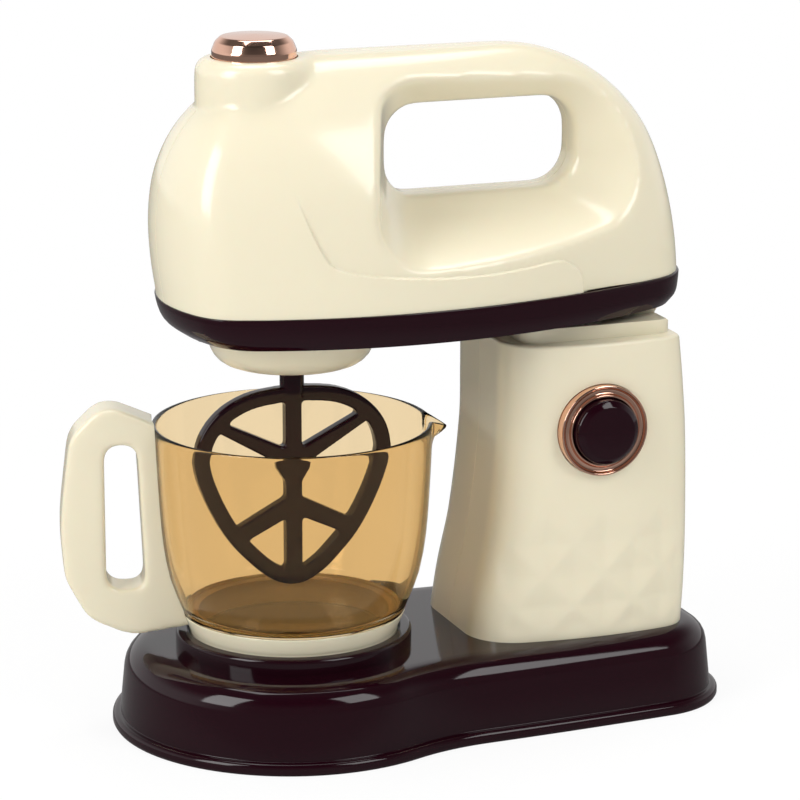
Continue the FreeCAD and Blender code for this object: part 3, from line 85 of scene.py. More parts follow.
class MixerColours(bpy.types.PropertyGroup):
    cream: FloatVectorProperty(
        name="Cream", description="Main plastic", subtype="COLOR", size=3, default=(0.78, 0.715, 0.535))
    maroon: FloatVectorProperty(
        name="Maroon", description="Dark plastic of base, band and beater", subtype="COLOR", size=3,
        default=(0.0103, 0.0012, 0.0037))
    amber: FloatVectorProperty(
        name="Amber", description="Tint of the clear bowl", subtype="COLOR", size=3,
        default=(0.855, 0.675, 0.415))
    copper: FloatVectorProperty(
        name="Copper", description="Metallised trim", subtype="COLOR", size=3, default=(0.93, 0.56, 0.42))


def sizes():
    return bpy.context.scene.mixer_sizes


def colours():
    return bpy.context.scene.mixer_colours


# Modelling helpers

def deselect():
    if bpy.context.mode != "OBJECT":
        bpy.ops.object.mode_set(mode="OBJECT")
    bpy.ops.object.select_all(action="DESELECT")


def pick(obj):
    deselect()
    obj.select_set(True)
    bpy.context.view_layer.objects.active = obj


def key(co):
    return (round(co[0] * 1e7), round(co[1] * 1e7), round(co[2] * 1e7))


def stack(name, rings):
    """A closed piece in millimetres, from a circle shaped to the first ring and extruded from ring to ring."""
    deselect()
    bpy.ops.mesh.primitive_circle_add(vertices=len(rings[0]), radius=MM)
    obj = bpy.context.object
    obj.name = name
    last = [Vector(p) * MM for p in rings[0]]
    for vertex, place in zip(obj.data.vertices, last):
        vertex.co = place
    bpy.ops.object.mode_set(mode="EDIT")
    bpy.ops.mesh.select_all(action="SELECT")
    bpy.ops.mesh.edge_face_add()
    bpy.ops.mesh.select_all(action="SELECT")
    for ring in rings[1:]:
        bpy.ops.mesh.extrude_region_move()
        index = {key(place): i for i, place in enumerate(last)}
        last = [Vector(p) * MM for p in ring]
        edit = bmesh.from_edit_mesh(obj.data)
        for vertex in edit.verts:
            if vertex.select:
                vertex.co = last[index[key(vertex.co)]]
        bmesh.update_edit_mesh(obj.data)
    bpy.ops.mesh.select_all(action="SELECT")
    bpy.ops.mesh.normals_make_consistent(inside=False)
    bpy.ops.object.mode_set(mode="OBJECT")
    return obj


def modify(obj, kind, **settings):
    """Adds one modifier with its settings and applies it."""
    pick(obj)
    modifier = obj.modifiers.new(kind.title(), kind)
    for name, value in settings.items():
        setattr(modifier, name, value)
    bpy.ops.object.modifier_apply(modifier=modifier.name)


def combine(obj, other, operation):
    """Adds or takes away another piece, which is used up."""
    modify(obj, "BOOLEAN", object=other, operation=operation, solver="EXACT")
    bpy.data.objects.remove(other)


def cut(obj, *others):
    for other in others:
        combine(obj, other, "DIFFERENCE")


def join(obj, *others):
    for other in others:
        combine(obj, other, "UNION")


def soften(obj, voxel, rounds):
    """Gives the piece an even skin and rounds its edges."""
    modify(obj, "REMESH", mode="VOXEL", voxel_size=voxel, use_smooth_shade=True)
    if rounds:
        modify(obj, "SMOOTH", factor=0.5, iterations=rounds)


def smooth(obj, angle=32.0):
    pick(obj)
    bpy.ops.object.shade_smooth_by_angle(angle=math.radians(angle))
    return obj


def bisect(obj, point, normal, fill=True):
    """Cuts the piece flat and drops what lies beyond the plane."""
    pick(obj)
    bpy.ops.object.mode_set(mode="EDIT")
    bpy.ops.mesh.select_all(action="SELECT")
    bpy.ops.mesh.bisect(plane_co=Vector(point) * MM, plane_no=normal, use_fill=fill, clear_outer=True)
    bpy.ops.object.mode_set(mode="OBJECT")


def seam(obj):
    """A fine groove on the mid-plane, where the two halves of a shell meet."""
    pick(obj)
    bpy.ops.object.mode_set(mode="EDIT")
    bpy.ops.mesh.select_all(action="SELECT")
    bpy.ops.mesh.bisect(plane_co=(0, 0, 0), plane_no=(0, 1, 0))
    bpy.ops.mesh.bevel(offset=sizes().seam_width / 2, segments=2, profile=0.5, affect="EDGES")
    edit = bmesh.from_edit_mesh(obj.data)
    for vertex in edit.verts:
        vertex.select_set(abs(vertex.co.y) < 2e-6)
    edit.select_flush_mode()
    bmesh.update_edit_mesh(obj.data)
    bpy.ops.transform.shrink_fatten(value=-sizes().seam_width)
    bpy.ops.object.mode_set(mode="OBJECT")


def round_corners(corners, steps=6):
    """Points of a polyline whose corners, given as (a, b, radius), are rounded."""
    points = []
    for i, (a, b, radius) in enumerate(corners):
        here = Vector((a, b))
        if not radius:
            points.append(here)
            continue
        last = Vector(corners[i - 1][:2]) - here
        following = Vector(corners[(i + 1) % len(corners)][:2]) - here
        last.normalize()
        following.normalize()
        opening = last.angle(following)
        reach = radius / math.tan(opening / 2)
        middle = here + (last + following).normalized() * (radius / math.sin(opening / 2))
        start, end = here + last * reach - middle, here + following * reach - middle
        sweep = math.pi - opening
        sign = 1.0 if start.x * end.y - start.y * end.x > 0 else -1.0
        for k in range(steps + 1):
            t = sign * sweep * k / steps
            c, s = math.cos(t), math.sin(t)
            points.append(middle + Vector((start.x * c - start.y * s, start.x * s + start.y * c)))
    return points


def turned_ring(radius, along, centre, axis, count):
    """Points of a circle round an axis parallel to Z or Y."""
    ring = []
    for k in range(count):
        a = 2 * math.pi * k / count
        u, w = radius * math.cos(a), radius * math.sin(a)
        if axis == "Z":
            ring.append((centre[0] + u, centre[1] + w, along))
        else:
            ring.append((centre[0] + u, along, centre[1] + w))
    return ring


def lathe(name, corners, centre, axis="Z", count=96, steps=5):
    """A turned piece from (radius, position along the axis, rounding) corners. Radius 0 closes an end."""
    return stack(name, [turned_ring(max(radius, AXIS_R), along, centre, axis, count)
                        for radius, along in round_corners(corners, steps)])


def tube(name, corners, centre, axis="Z", count=96, steps=5):
    """A ring-shaped piece from a closed (radius, position, rounding) section."""
    points = round_corners(corners, steps)
    obj = stack(name, [turned_ring(radius, along, centre, axis, count)
                       for radius, along in points + points[:1]])
    pick(obj)
    bpy.ops.object.mode_set(mode="EDIT")
    edit = bmesh.from_edit_mesh(obj.data)
    ends = [face for face in edit.faces if len(face.verts) == count]
    bmesh.ops.delete(edit, geom=ends, context="FACES_ONLY")
    bmesh.update_edit_mesh(obj.data)
    bpy.ops.mesh.select_all(action="SELECT")
    bpy.ops.mesh.remove_doubles(threshold=1e-6)
    bpy.ops.mesh.normals_make_consistent(inside=False)
    bpy.ops.object.mode_set(mode="OBJECT")
    return obj


def block(name, x0, x1, y0, y1, z0, z1):
    """A box used to cut or to build up a piece."""
    deselect()
    bpy.ops.mesh.primitive_cube_add(size=1.0)
    obj = bpy.context.object
    obj.name = name
    low, high = Vector((x0, y0, z0)) * MM, Vector((x1, y1, z1)) * MM
    for vertex in obj.data.vertices:
        vertex.co = Vector([low[i] if vertex.co[i] < 0 else high[i] for i in range(3)])
    return obj


def slab(name, outline, y0, y1):
    """A flat piece across Y from an outline of (x, z) points."""
    return stack(name, [[(x, y, z) for x, z in outline] for y in (y0, y1)])


def settle(obj, name, body, material, slot, *nodes):
    """Names the finished piece, gives it its material and hands it to the frame."""
    obj.name = name
    obj.data.name = name
    obj.data.materials.clear()
    obj.data.materials.append(material)
    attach(obj, body)
    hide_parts(*nodes)
    return obj


# Outlines

def walk(start, angle, arcs):
    """Points along arcs by the direction of the outward normal. Each arc is (radius, end angle, steps)."""
    points = [Vector(start)]
    for radius, end, count in arcs:
        x, y = points[-1]
        a0 = math.radians(angle)
        for k in range(1, count + 1):
            a = math.radians(angle + (end - angle) * k / count)
            points.append(Vector((x + radius * (math.cos(a0) - math.cos(a)),
                                  y + radius * (math.sin(a) - math.sin(a0)))))
        angle = end
    return points


def both_sides(flank):
    """Closes a plan outline: the flank on +Y and its mirror image on -Y."""
    other = [Vector((p.x, -p.y)) for p in reversed(flank)]
    if abs(flank[-1].y) < 1e-4:
        other = other[1:]
    if abs(flank[0].y) < 1e-4:
        other = other[:-1]
    return flank + other


def head_outline(nose, half, rear, rear_r, inset=0.0):
    """The head's plan at one height."""
    nose, half, rear, rear_r = nose + inset, half - inset, rear - inset, rear_r - inset
    front = walk((BOWL_X + nose, 0.0), 0.0, [(half * 60 / 42, 22.0, 10), (half * 18 / 42, 70.0, 12),
                                             (half * 154 / 42, 90.0, 14)])
    wide = front[-1]
    centre = BOWL_X + rear - rear_r
    side_r = ((centre - wide.x) ** 2 + wide.y ** 2 - rear_r ** 2) / (2 * (wide.y - rear_r))
    meet = 90.0 + math.degrees(math.asin((centre - wide.x) / (side_r - rear_r)))
    back = walk(wide, 90.0, [(side_r, meet, 24), (rear_r, 180.0, 16)])
    back[-1].y = 0.0
    return both_sides(front + back[1:])


def base_outline(inset):
    """The base's plan, drawn in by inset."""
    join_angle, waist_angle, waist_r, side_r, corner_r, end_r = 112.9, 92.0, 74.0, 1400.0, 28.0, 59.0
    a1, a2 = math.radians(join_angle), math.radians(waist_angle)
    x_waist = -end_r * math.cos(a1) + waist_r * (math.cos(a2) - math.cos(a1))
    turn = math.degrees(math.acos((x_waist + side_r * math.cos(a2) + corner_r - 141.0) / (side_r - corner_r)))
    r = end_r - inset
    flank = walk((BOWL_X - r, 0.0), 0.0, [(r, join_angle, 44), (-(waist_r + inset), waist_angle, 10),
                                          (side_r - inset, turn, 14), (corner_r - inset, 180.0, 22)])
    across = [Vector((flank[-1].x, flank[-1].y * (1 - k / 6))) for k in range(1, 7)]
    across[-1].y = 0.0
    return both_sides(flank + across)


def between(rows, z):
    """Values of a table's row at height z, on a smooth curve through its rows."""
    rows = sorted(rows)
    i = max(k for k in range(len(rows) - 1) if rows[k][0] <= z + 1e-9)
    a, b = rows[i], rows[i + 1]
    before = rows[i - 1] if i else a
    after = rows[i + 2] if i + 2 < len(rows) else b
    span = b[0] - a[0]
    t = (z - a[0]) / span
    values = []
    for j in range(1, len(a)):
        slope_a = (b[j] - before[j]) / (b[0] - before[0]) * span
        slope_b = (after[j] - a[j]) / (after[0] - a[0]) * span
        h = t * t * (3 - 2 * t)
        values.append(a[j] * (1 - h) + b[j] * h + slope_a * t * (1 - t) ** 2 - slope_b * t * t * (1 - t))
    return values


def through(points, steps, closed=False):
    """A smooth curve through the points, each (a, b), with a number of steps from point to point."""
    places = [Vector(p) for p in points]
    count = len(places)
    made = []
    for i in range(count if closed else count - 1):
        if closed:
            before, a, b, after = (places[(i + k) % count] for k in (-1, 0, 1, 2))
        else:
            before, a, b = places[max(i - 1, 0)], places[i], places[i + 1]
            after = places[min(i + 2, count - 1)]
        for k in range(steps):
            t = k / steps
            made.append((a * 2 + (b - before) * t + (before * 2 - a * 5 + b * 4 - after) * t * t
                         + (a * 3 - before - b * 3 + after) * t ** 3) / 2)
    return made if closed else made + [places[-1]]


def offset(outline, depth):
    """A closed outline moved in by a depth along its own normals."""
    count = len(outline)
    middle = sum(outline, Vector((0.0, 0.0))) / count
    moved = []
    for i, here in enumerate(outline):
        along = (outline[(i + 1) % count] - outline[i - 1]).normalized()
        across = Vector((-along.y, along.x))
        moved.append(here + across * (depth if across.dot(middle - here) > 0 else -depth))
    return moved


def eased(value):
    """0 below 0, 1 above 1 and a smooth rise in between."""
    value = min(1.0, max(0.0, value))
    return value * value * (3 - 2 * value)


# Node groups and materials

def node(tree, kind, x, y, **values):
    made = tree.nodes.new(kind)
    made.location = (x, y)
    for name, value in values.items():
        setattr(made, name, value)
    return made


def group_with(name, inputs, outputs):
    """A shader node group with its named sockets, each (name, socket type, default)."""
    tree = bpy.data.node_groups.new(name, "ShaderNodeTree")
    for label, kind, value in inputs:
        socket = tree.interface.new_socket(name=label, in_out="INPUT", socket_type=kind)
        socket.default_value = value
    for label, kind in outputs:
        tree.interface.new_socket(name=label, in_out="OUTPUT", socket_type=kind)
    return tree, node(tree, "NodeGroupInput", -1000, 0), node(tree, "NodeGroupOutput", 700, 0)


def moulded_group():
    """Moulded plastic: faint colour drift, flow marks, hairline scratches and a very fine skin texture."""
    tree, source, result = group_with("moulded_skin", [
        ("Colour", "NodeSocketColor", (0.8, 0.8, 0.8, 1.0)),
        ("Drift Colour", "NodeSocketColor", (0.7, 0.7, 0.7, 1.0)),
        ("Drift", "NodeSocketFloat", 0.3),
        ("Roughness", "NodeSocketFloat", 0.2),
        ("Scratches", "NodeSocketFloat", 0.05),
        ("Skin", "NodeSocketFloat", 0.1),
    ], [("Colour", "NodeSocketColor"), ("Roughness", "NodeSocketFloat"), ("Normal", "NodeSocketVector")])
    link = tree.links.new
    place = node(tree, "ShaderNodeTexCoord", -1000, 300)
    cloud = node(tree, "ShaderNodeTexNoise", -780, 300)
    cloud.inputs["Scale"].default_value = 22.0
    cloud.inputs["Detail"].default_value = 3.0
    amount = node(tree, "ShaderNodeMath", -560, 300, operation="MULTIPLY")
    blend = node(tree, "ShaderNodeMix", -320, 300, data_type="RGBA")
    link(place.outputs["Object"], cloud.inputs["Vector"])
    link(cloud.outputs["Fac"], amount.inputs[0])
    link(source.outputs["Drift"], amount.inputs[1])
    link(amount.outputs[0], blend.inputs["Factor"])
    link(source.outputs["Colour"], blend.inputs["A"])
    link(source.outputs["Drift Colour"], blend.inputs["B"])
    link(blend.outputs["Result"], result.inputs["Colour"])
    streak_map = node(tree, "ShaderNodeMapping", -780, 0)
    streak_map.inputs["Rotation"].default_value = (0.5, 0.3, 0.7)
    streak_map.inputs["Scale"].default_value = (1.0, 9.0, 7.0)
    streaks = node(tree, "ShaderNodeTexNoise", -560, 0)
    streaks.inputs["Scale"].default_value = 160.0
    streaks.inputs["Detail"].default_value = 5.0
    narrow = node(tree, "ShaderNodeMapRange", -340, 0)
    narrow.inputs["From Min"].default_value = 0.62
    narrow.inputs["From Max"].default_value = 0.78
    scratched = node(tree, "ShaderNodeMath", -120, 0, operation="MULTIPLY")
    rough = node(tree, "ShaderNodeMath", 100, 0, operation="ADD")
    link(place.outputs["Object"], streak_map.inputs["Vector"])
    link(streak_map.outputs["Vector"], streaks.inputs["Vector"])
    link(streaks.outputs["Fac"], narrow.inputs["Value"])
    link(narrow.outputs["Result"], scratched.inputs[0])
    link(source.outputs["Scratches"], scratched.inputs[1])
    link(source.outputs["Roughness"], rough.inputs[0])
    link(scratched.outputs[0], rough.inputs[1])
    link(rough.outputs[0], result.inputs["Roughness"])
    skin = node(tree, "ShaderNodeTexNoise", -560, -300)
    skin.inputs["Scale"].default_value = 900.0
    waves = node(tree, "ShaderNodeTexNoise", -560, -520)
    waves.inputs["Scale"].default_value = 55.0
    sum_up = node(tree, "ShaderNodeMath", -340, -300, operation="MULTIPLY_ADD")
    sum_up.inputs[1].default_value = 0.12
    relief = node(tree, "ShaderNodeBump", 100, -300)
    relief.inputs["Distance"].default_value = 0.12 * MM
    link(place.outputs["Object"], skin.inputs["Vector"])
    link(place.outputs["Object"], waves.inputs["Vector"])
    link(skin.outputs["Fac"], sum_up.inputs[0])
    link(waves.outputs["Fac"], sum_up.inputs[2])
    link(source.outputs["Skin"], relief.inputs["Strength"])
    link(sum_up.outputs[0], relief.inputs["Height"])
    link(relief.outputs["Normal"], result.inputs["Normal"])
    return tree


def shared(name, make):
    return bpy.data.node_groups.get(name) or make()


def plastic(name, colour, drift_colour, drift, roughness, scratches=0.04, skin=0.12, more=()):
    """A moulded plastic finish with its own colour and gloss."""
    found = bpy.data.materials.get(name)
    if found:
        return found
    material = bpy.data.materials.new(name)
    material.use_nodes = True
    tree = material.node_tree
    shader = tree.nodes["Principled BSDF"]
    skin_node = node(tree, "ShaderNodeGroup", -300, 200, node_tree=shared("moulded_skin", moulded_group))
    skin_node.inputs["Colour"].default_value = (*colour, 1.0)
    skin_node.inputs["Drift Colour"].default_value = (*drift_colour, 1.0)
    skin_node.inputs["Drift"].default_value = drift
    skin_node.inputs["Roughness"].default_value = roughness
    skin_node.inputs["Scratches"].default_value = scratches
    skin_node.inputs["Skin"].default_value = skin
    tree.links.new(skin_node.outputs["Colour"], shader.inputs["Base Color"])
    tree.links.new(skin_node.outputs["Roughness"], shader.inputs["Roughness"])
    tree.links.new(skin_node.outputs["Normal"], shader.inputs["Normal"])
    for label, value in more:
        shader.inputs[label].default_value = value
    return material


def cream():
    c = colours().cream
    return plastic("cream_gloss", c, [v * 0.93 for v in c], 0.35, 0.2, more=(
        ("Coat Weight", 0.25), ("Coat Roughness", 0.06),
        ("Subsurface Weight", 0.08), ("Subsurface Scale", 0.004)))


def maroon():
    c = colours().maroon
    return plastic("maroon_gloss", c, (c[0] * 1.6, c[1], c[2] * 1.2), 0.5, 0.08, scratches=0.03, skin=0.06,
                   more=(("Specular IOR Level", 0.35),))


def copper():
    c = colours().copper
    return plastic("copper_plated", c, [v * 0.9 for v in c], 0.4, 0.09, scratches=0.08, skin=0.1,
                   more=(("Metallic", 1.0),))


def amber():
    c = colours().amber
    return plastic("amber_clear", c, [v * 0.96 for v in c], 0.5, 0.02, scratches=0.02, skin=0.1,
                   more=(("Transmission Weight", 1.0), ("IOR", 1.3)))


def white_plastic():
    return plastic("natural_white", (0.78, 0.77, 0.72), (0.7, 0.68, 0.62), 0.4, 0.42)


def black_plastic():
    return plastic("black_matt", (0.02, 0.018, 0.019), (0.035, 0.033, 0.033), 0.5, 0.5, skin=0.3)


def steel():
    return plastic("plated_steel", (0.62, 0.61, 0.6), (0.5, 0.49, 0.47), 0.5, 0.28, scratches=0.2,
                   more=(("Metallic", 1.0),))


def cell_label():
    return plastic("cell_sleeve", (0.03, 0.05, 0.09), (0.02, 0.03, 0.05), 0.4, 0.3)


def wire_rubber():
    return plastic("wire_sleeve", (0.42, 0.02, 0.015), (0.3, 0.012, 0.01), 0.4, 0.45, skin=0.3)


FINISHES = {
    "cream": cream,
    "maroon": maroon,
    "copper": copper,
    "amber": amber,
    "white_plastic": white_plastic,
    "black_plastic": black_plastic,
    "steel": steel,
    "cell": cell_label,
    "wire": wire_rubber,
}


# Pieces

HEAD_OUTLINES = [
    (141.0, -42.0, 42.0, 131.6, 24.0),
    (152.0, -43.6, 41.7, 130.7, 23.0),
    (165.0, -44.3, 40.2, 128.4, 21.5),
    (178.0, -43.0, 36.8, 124.6, 19.5),
    (188.0, -39.6, 32.4, 120.2, 17.5),
    (196.0, -34.8, 27.6, 114.6, 15.5),
    (203.0, -28.0, 22.4, 107.6, 13.5),
    (209.0, -19.0, 17.2, 99.0, 11.2),
    (213.5, -9.0, 12.6, 89.5, 8.8),
    (216.2, 0.0, 8.6, 80.0, 6.4),
    (217.0, 6.0, 5.6, 73.0, 4.4),
]
SPLIT_Z = 141.0
FLOOR_Z = 130.5
HEAD_TOP_Z = 217.0
TURRET = (BOWL_X - 11.5, 0.0)
TURRET_R = 18.7
TURRET_TOP_Z = 216.9
# Smoothing rounds that the whole head gets, half-width of the crease round the turret that gets no more
FIRST_ROUNDS = 4
CREASE_HALF = 1.2
CREASE_FADE = 2.5
CREASE_TOP_Z = 207.0
HINGE = (BOWL_X + 118.0, 133.5)
SIDE_BUTTON = (BOWL_X + 94.1, 95.3)


def head_stack(name, low, inset, high=HEAD_TOP_Z, step=2.0):
    """The head's outlines piled up from a level at or below the split to a level near its top."""
    levels = [low] if low < SPLIT_Z else []
    z = max(low, SPLIT_Z)
    while z < high - 0.3:
        levels.append(z)
        z += step if z < 205 else step / 2
    levels.append(high)
    rings = []
    for z in levels:
        values = between(HEAD_OUTLINES, max(z, SPLIT_Z))
        rings.append([(p.x, p.y, z) for p in head_outline(*values, inset)])
    return stack(name, rings)


def rounded_frame(x0, x1, z0, z1, r_front, r_rear, y):
    corners = [(x0, z0, r_front), (x1, z0, r_rear), (x1, z1, r_rear), (x0, z1, r_front)]
    return [(p.x, y, p.y) for p in round_corners(corners, 12)]


# The step round the side panel of the head, seen from the side, from the nose to the band
LEDGE = through([(BOWL_X + x, z) for x, z in (
    (-12.0, 184.4), (-3.8, 162.5), (4.2, 154.9), (28.4, 151.3), (48.3, 150.4), (65.1, 151.0), (77.0, 152.0),
    (82.6, 150.0), (86.0, 145.6), (86.2, 138.0))], 4)


def ledge_side(x, z):
    """Distance from the step, positive behind and above it."""
    here = Vector((x, z))
    best = None
    for a, b in zip(LEDGE, LEDGE[1:]):
        along = b - a
        t = min(1.0, max(0.0, (here - a).dot(along) / along.length_squared))
        gap = here - a - along * t
        if best is None or gap.length < abs(best):
            best = math.copysign(gap.length, along.x * (z - a.y) - along.y * (x - a.x))
    return best


def press_ledge(head):
    """Presses the head's skin in behind the step, and lets it come back out further on."""
    pick(head)
    bpy.ops.object.mode_set(mode="EDIT")
    bpy.ops.mesh.select_all(action="DESELECT")
    edit = bmesh.from_edit_mesh(head.data)
    for face in edit.faces:
        x, y, z = face.calc_center_median() / MM
        if abs(y) > 14.0 and z < 188.0 and abs(ledge_side(x, z)) < 2.2:
            face.select_set(True)
    bmesh.update_edit_mesh(head.data)
    bpy.ops.mesh.subdivide(number_cuts=3)
    bpy.ops.object.mode_set(mode="OBJECT")
    normals = [vertex.normal.copy() for vertex in head.data.vertices]
    for vertex, normal in zip(head.data.vertices, normals):
        x, y, z = vertex.co / MM
        if abs(y) < 10.0 or z > 190.0:
            continue
        side = ledge_side(x, z)
        if side > 0.0:
            share = eased(side / 0.6) * (1 - eased((side - 5.0) / 22.0)) * (1 - eased((z - 166.0) / 16.0))
            vertex.co -= normal * (share * sizes().ledge_depth * eased((abs(y) - 10.0) / 8.0))


class MIXER_OT_head(bpy.types.Operator):
    """Cream upper housing of the head, with its hand opening and the turret for the top button"""
    bl_idname = "mixer.head"
    bl_label = "Head Housing"

    def execute(self, context):
        head = head_stack("head", SPLIT_Z - 6.0, 0.0)
        join(head, lathe("turret", [
            (0, 180.0, 0), (TURRET_R, 180.0, 0), (TURRET_R, TURRET_TOP_Z, 4.0), (0, TURRET_TOP_Z, 0),
        ], TURRET))
        inner = (BOWL_X + 29.2, BOWL_X + 94.3, 170.7, 199.8, 11.0, 11.0)
        outer = (BOWL_X + 13.5, BOWL_X + 150.0, 152.5, 236.0, 18.0, 41.0)
        grip = stack("grip", [rounded_frame(*size, y) for size, y in (
            (outer, -44.0), (inner, -6.0), (inner, 6.0), (outer, 44.0))])
        cut(head, grip)
        soften(head, sizes().head_voxel, FIRST_ROUNDS)
        edges = head.vertex_groups.new(name="grip")
        skin = head.vertex_groups.new(name="skin")
        for vertex in head.data.vertices:
            x, y, z = vertex.co / MM
            near = min(1.0, max(0.0, (x - (BOWL_X + 8)) / 16)) * min(1.0, max(0.0, (z - 152) / 10))
            edges.add([vertex.index], near, "REPLACE")
            gap = abs(math.hypot(x - TURRET[0], y) - TURRET_R)
            crease = (1 - eased((gap - CREASE_HALF) / CREASE_FADE)) * (1 - eased((z - CREASE_TOP_Z) / 4.0))
            skin.add([vertex.index], 1 - crease, "REPLACE")
        modify(head, "SMOOTH", factor=0.5, iterations=sizes().head_softness, vertex_group="skin")
        modify(head, "SMOOTH", factor=0.5, iterations=sizes().grip_softness, vertex_group="grip")
        bisect(head, (0, 0, SPLIT_Z + 0.05), (0, 0, -1))
        press_ledge(head)
        cut(head,
            lathe("well", [(0, 205.0, 0), (13.7, 205.0, 0), (13.7, 230.0, 0), (0, 230.0, 0)], TURRET),
            lathe("shaft", [(0, 186.0, 0), (10.5, 186.0, 0), (10.5, 206.0, 0), (0, 206.0, 0)],
                  TURRET, count=48),
            head_stack("bay", SPLIT_Z - 3.0, 2.4, 153.0, 3.0),
            lathe("motor_bay", [(0, 150.0, 0), (11.5, 150.0, 0), (11.5, 183.0, 0), (0, 183.0, 0)],
                  (BOWL_X - 7.2, 12.47), count=48))
        seam(head)
        smooth(head, 40.0)
        settle(head, "head_housing", "head", cream(), "cream", "head_shell_left", "head_shell_right")
        return {"FINISHED"}


class MIXER_OT_band(bpy.types.Operator):
    """Dark lower housing of the head, the band below the cream shell, with the hinge slots in its floor"""
    bl_idname = "mixer.band"
    bl_label = "Head Band"

    def execute(self, context):
        rows = [
            (FLOOR_Z, -35.6, 41.2, 128.6, 23.0),
            (FLOOR_Z + 3.0, -39.8, 42.2, 131.2, 24.2),
            (FLOOR_Z + 6.5, -41.6, 42.6, 132.0, 24.5),
            (SPLIT_Z, -42.5, 42.7, 132.3, 24.6),
        ]

        def ring(z, inset):
            values = between(rows, min(max(z, FLOOR_Z), SPLIT_Z))
            return [(p.x, p.y, z) for p in head_outline(*values, inset)]

        levels = [(FLOOR_Z + 2.0, 5.0), (FLOOR_Z + 2.6, 2.9), (136.0, 2.6), (SPLIT_Z, 2.6), (SPLIT_Z, 0.5),
                  (SPLIT_Z - 0.15, 0.15), (SPLIT_Z - 0.5, 0.0)]
        levels += [(z, 0.0) for z in (139.0, 137.0, 135.5, 134.2, 133.2, 132.4, 131.7, 131.1, 130.7)]
        levels += [(FLOOR_Z + 0.03, 0.6), (FLOOR_Z, 1.6)]
        band = stack("band", [ring(z, inset) for z, inset in levels])
        cut(band, lathe("bush_hole", [(0, 128.0, 0), (5.1, 128.0, 0), (5.1, 135.0, 0), (0, 135.0, 0)],
                        (BOWL_X, 0.0), count=48))
        hx, hz = HINGE
        for side in (-1, 1):
            y0, y1 = sorted((side * 9.7, side * 14.8))
            cut(band, block("slot", hx - 8.5, hx + 8.5, y0, y1, 128.0, 135.0))
        cut(band, block("wire_slot", hx - 8, hx + 6, -4, 4, 128.0, 135.0))
        for side in (-1, 1):
            y0, y1 = sorted((side * 5.7, side * 9.7))
            lug = tube("lug", [(4.0, y0, 0.3), (4.0, y1, 0.3), (3.2, y1, 0), (3.2, y0, 0)],
                       (hx, hz), "Y", 40, 2)
            join(band, lug)
        smooth(band)
        settle(band, "head_band", "head", maroon(), "maroon", "skirt_left", "skirt_right")
        return {"FINISHED"}


class MIXER_OT_boss(bpy.types.Operator):
    """Cream cone under the head, round the beater's spindle"""
    bl_idname = "mixer.boss"
    bl_label = "Spindle Cone"

    def execute(self, context):
        cone = tube("cone", [
            (28.4, 130.5, 0.0), (23.8, 118.6, 8.0), (5.2, 118.6, 0.5), (4.3, 119.2, 0.2), (4.3, 120.6, 0.2),
            (22.2, 120.6, 6.0), (26.2, 130.5, 0.0),
        ], (BOWL_X, 0.0), count=128)
        smooth(cone)
        settle(cone, "spindle_cone", "head", cream(), "cream", "boss_cover")
        return {"FINISHED"}


COLUMN_OUTLINES = [
    (26.0, 54.0, 127.4),
    (40.0, 56.2, 128.2),
    (60.0, 60.5, 128.5),
    (90.0, 64.0, 127.9),
    (107.0, 64.3, 126.7),
    (123.5, 64.3, 125.0),
]


def column_outline(front, rear, inset=0.0):
    """The column's plan at one height: a flat face, and on each side two corners and a nearly flat flank."""
    front_turn, rear_turn, front_r, rear_r, face_half = 80.0, 98.0, 16.5, 11.5, 14.0
    a1, a2 = math.radians(front_turn), math.radians(rear_turn)
    corners = front_r * (1 - math.cos(a1)) + rear_r * (1 + math.cos(a2))
    side_r = (rear - front - corners) / (math.cos(a1) - math.cos(a2))
    face = [Vector((BOWL_X + front + inset, face_half * k / 8)) for k in range(8)]
    flank = walk((BOWL_X + front + inset, face_half), 0.0, [
        (front_r - inset, front_turn, 18), (side_r - inset, rear_turn, 46), (rear_r - inset, 180.0, 16)])
    across = [Vector((flank[-1].x, flank[-1].y * (1 - k / 10))) for k in range(1, 11)]
    across[-1].y = 0.0
    return both_sides(face + flank + across)


# The diamonds low on the column's side: left corner of the top row's first one, half of a diamond's width
FACET_X, FACET_Z, FACET_HALF = 64.5, 57.8, 10.3


def facet_depth(x, z):
    """Depth of the diamond pattern at a point of the column's side, from 0 to 1 at a diamond's middle."""
    u = (x - FACET_X + z - FACET_Z) / (2 * FACET_HALF)
    w = (x - FACET_X - z + FACET_Z) / (2 * FACET_HALF)
    if math.floor(u) > math.floor(w):
        return 0.0
    value = 1 - max(abs(2 * (u - math.floor(u)) - 1), abs(2 * (w - math.floor(w)) - 1))
    return value * eased((x - 60.5) / 3.0) * eased((z - 27.0) / 5.0) * eased((124.0 - x) / 3.0)


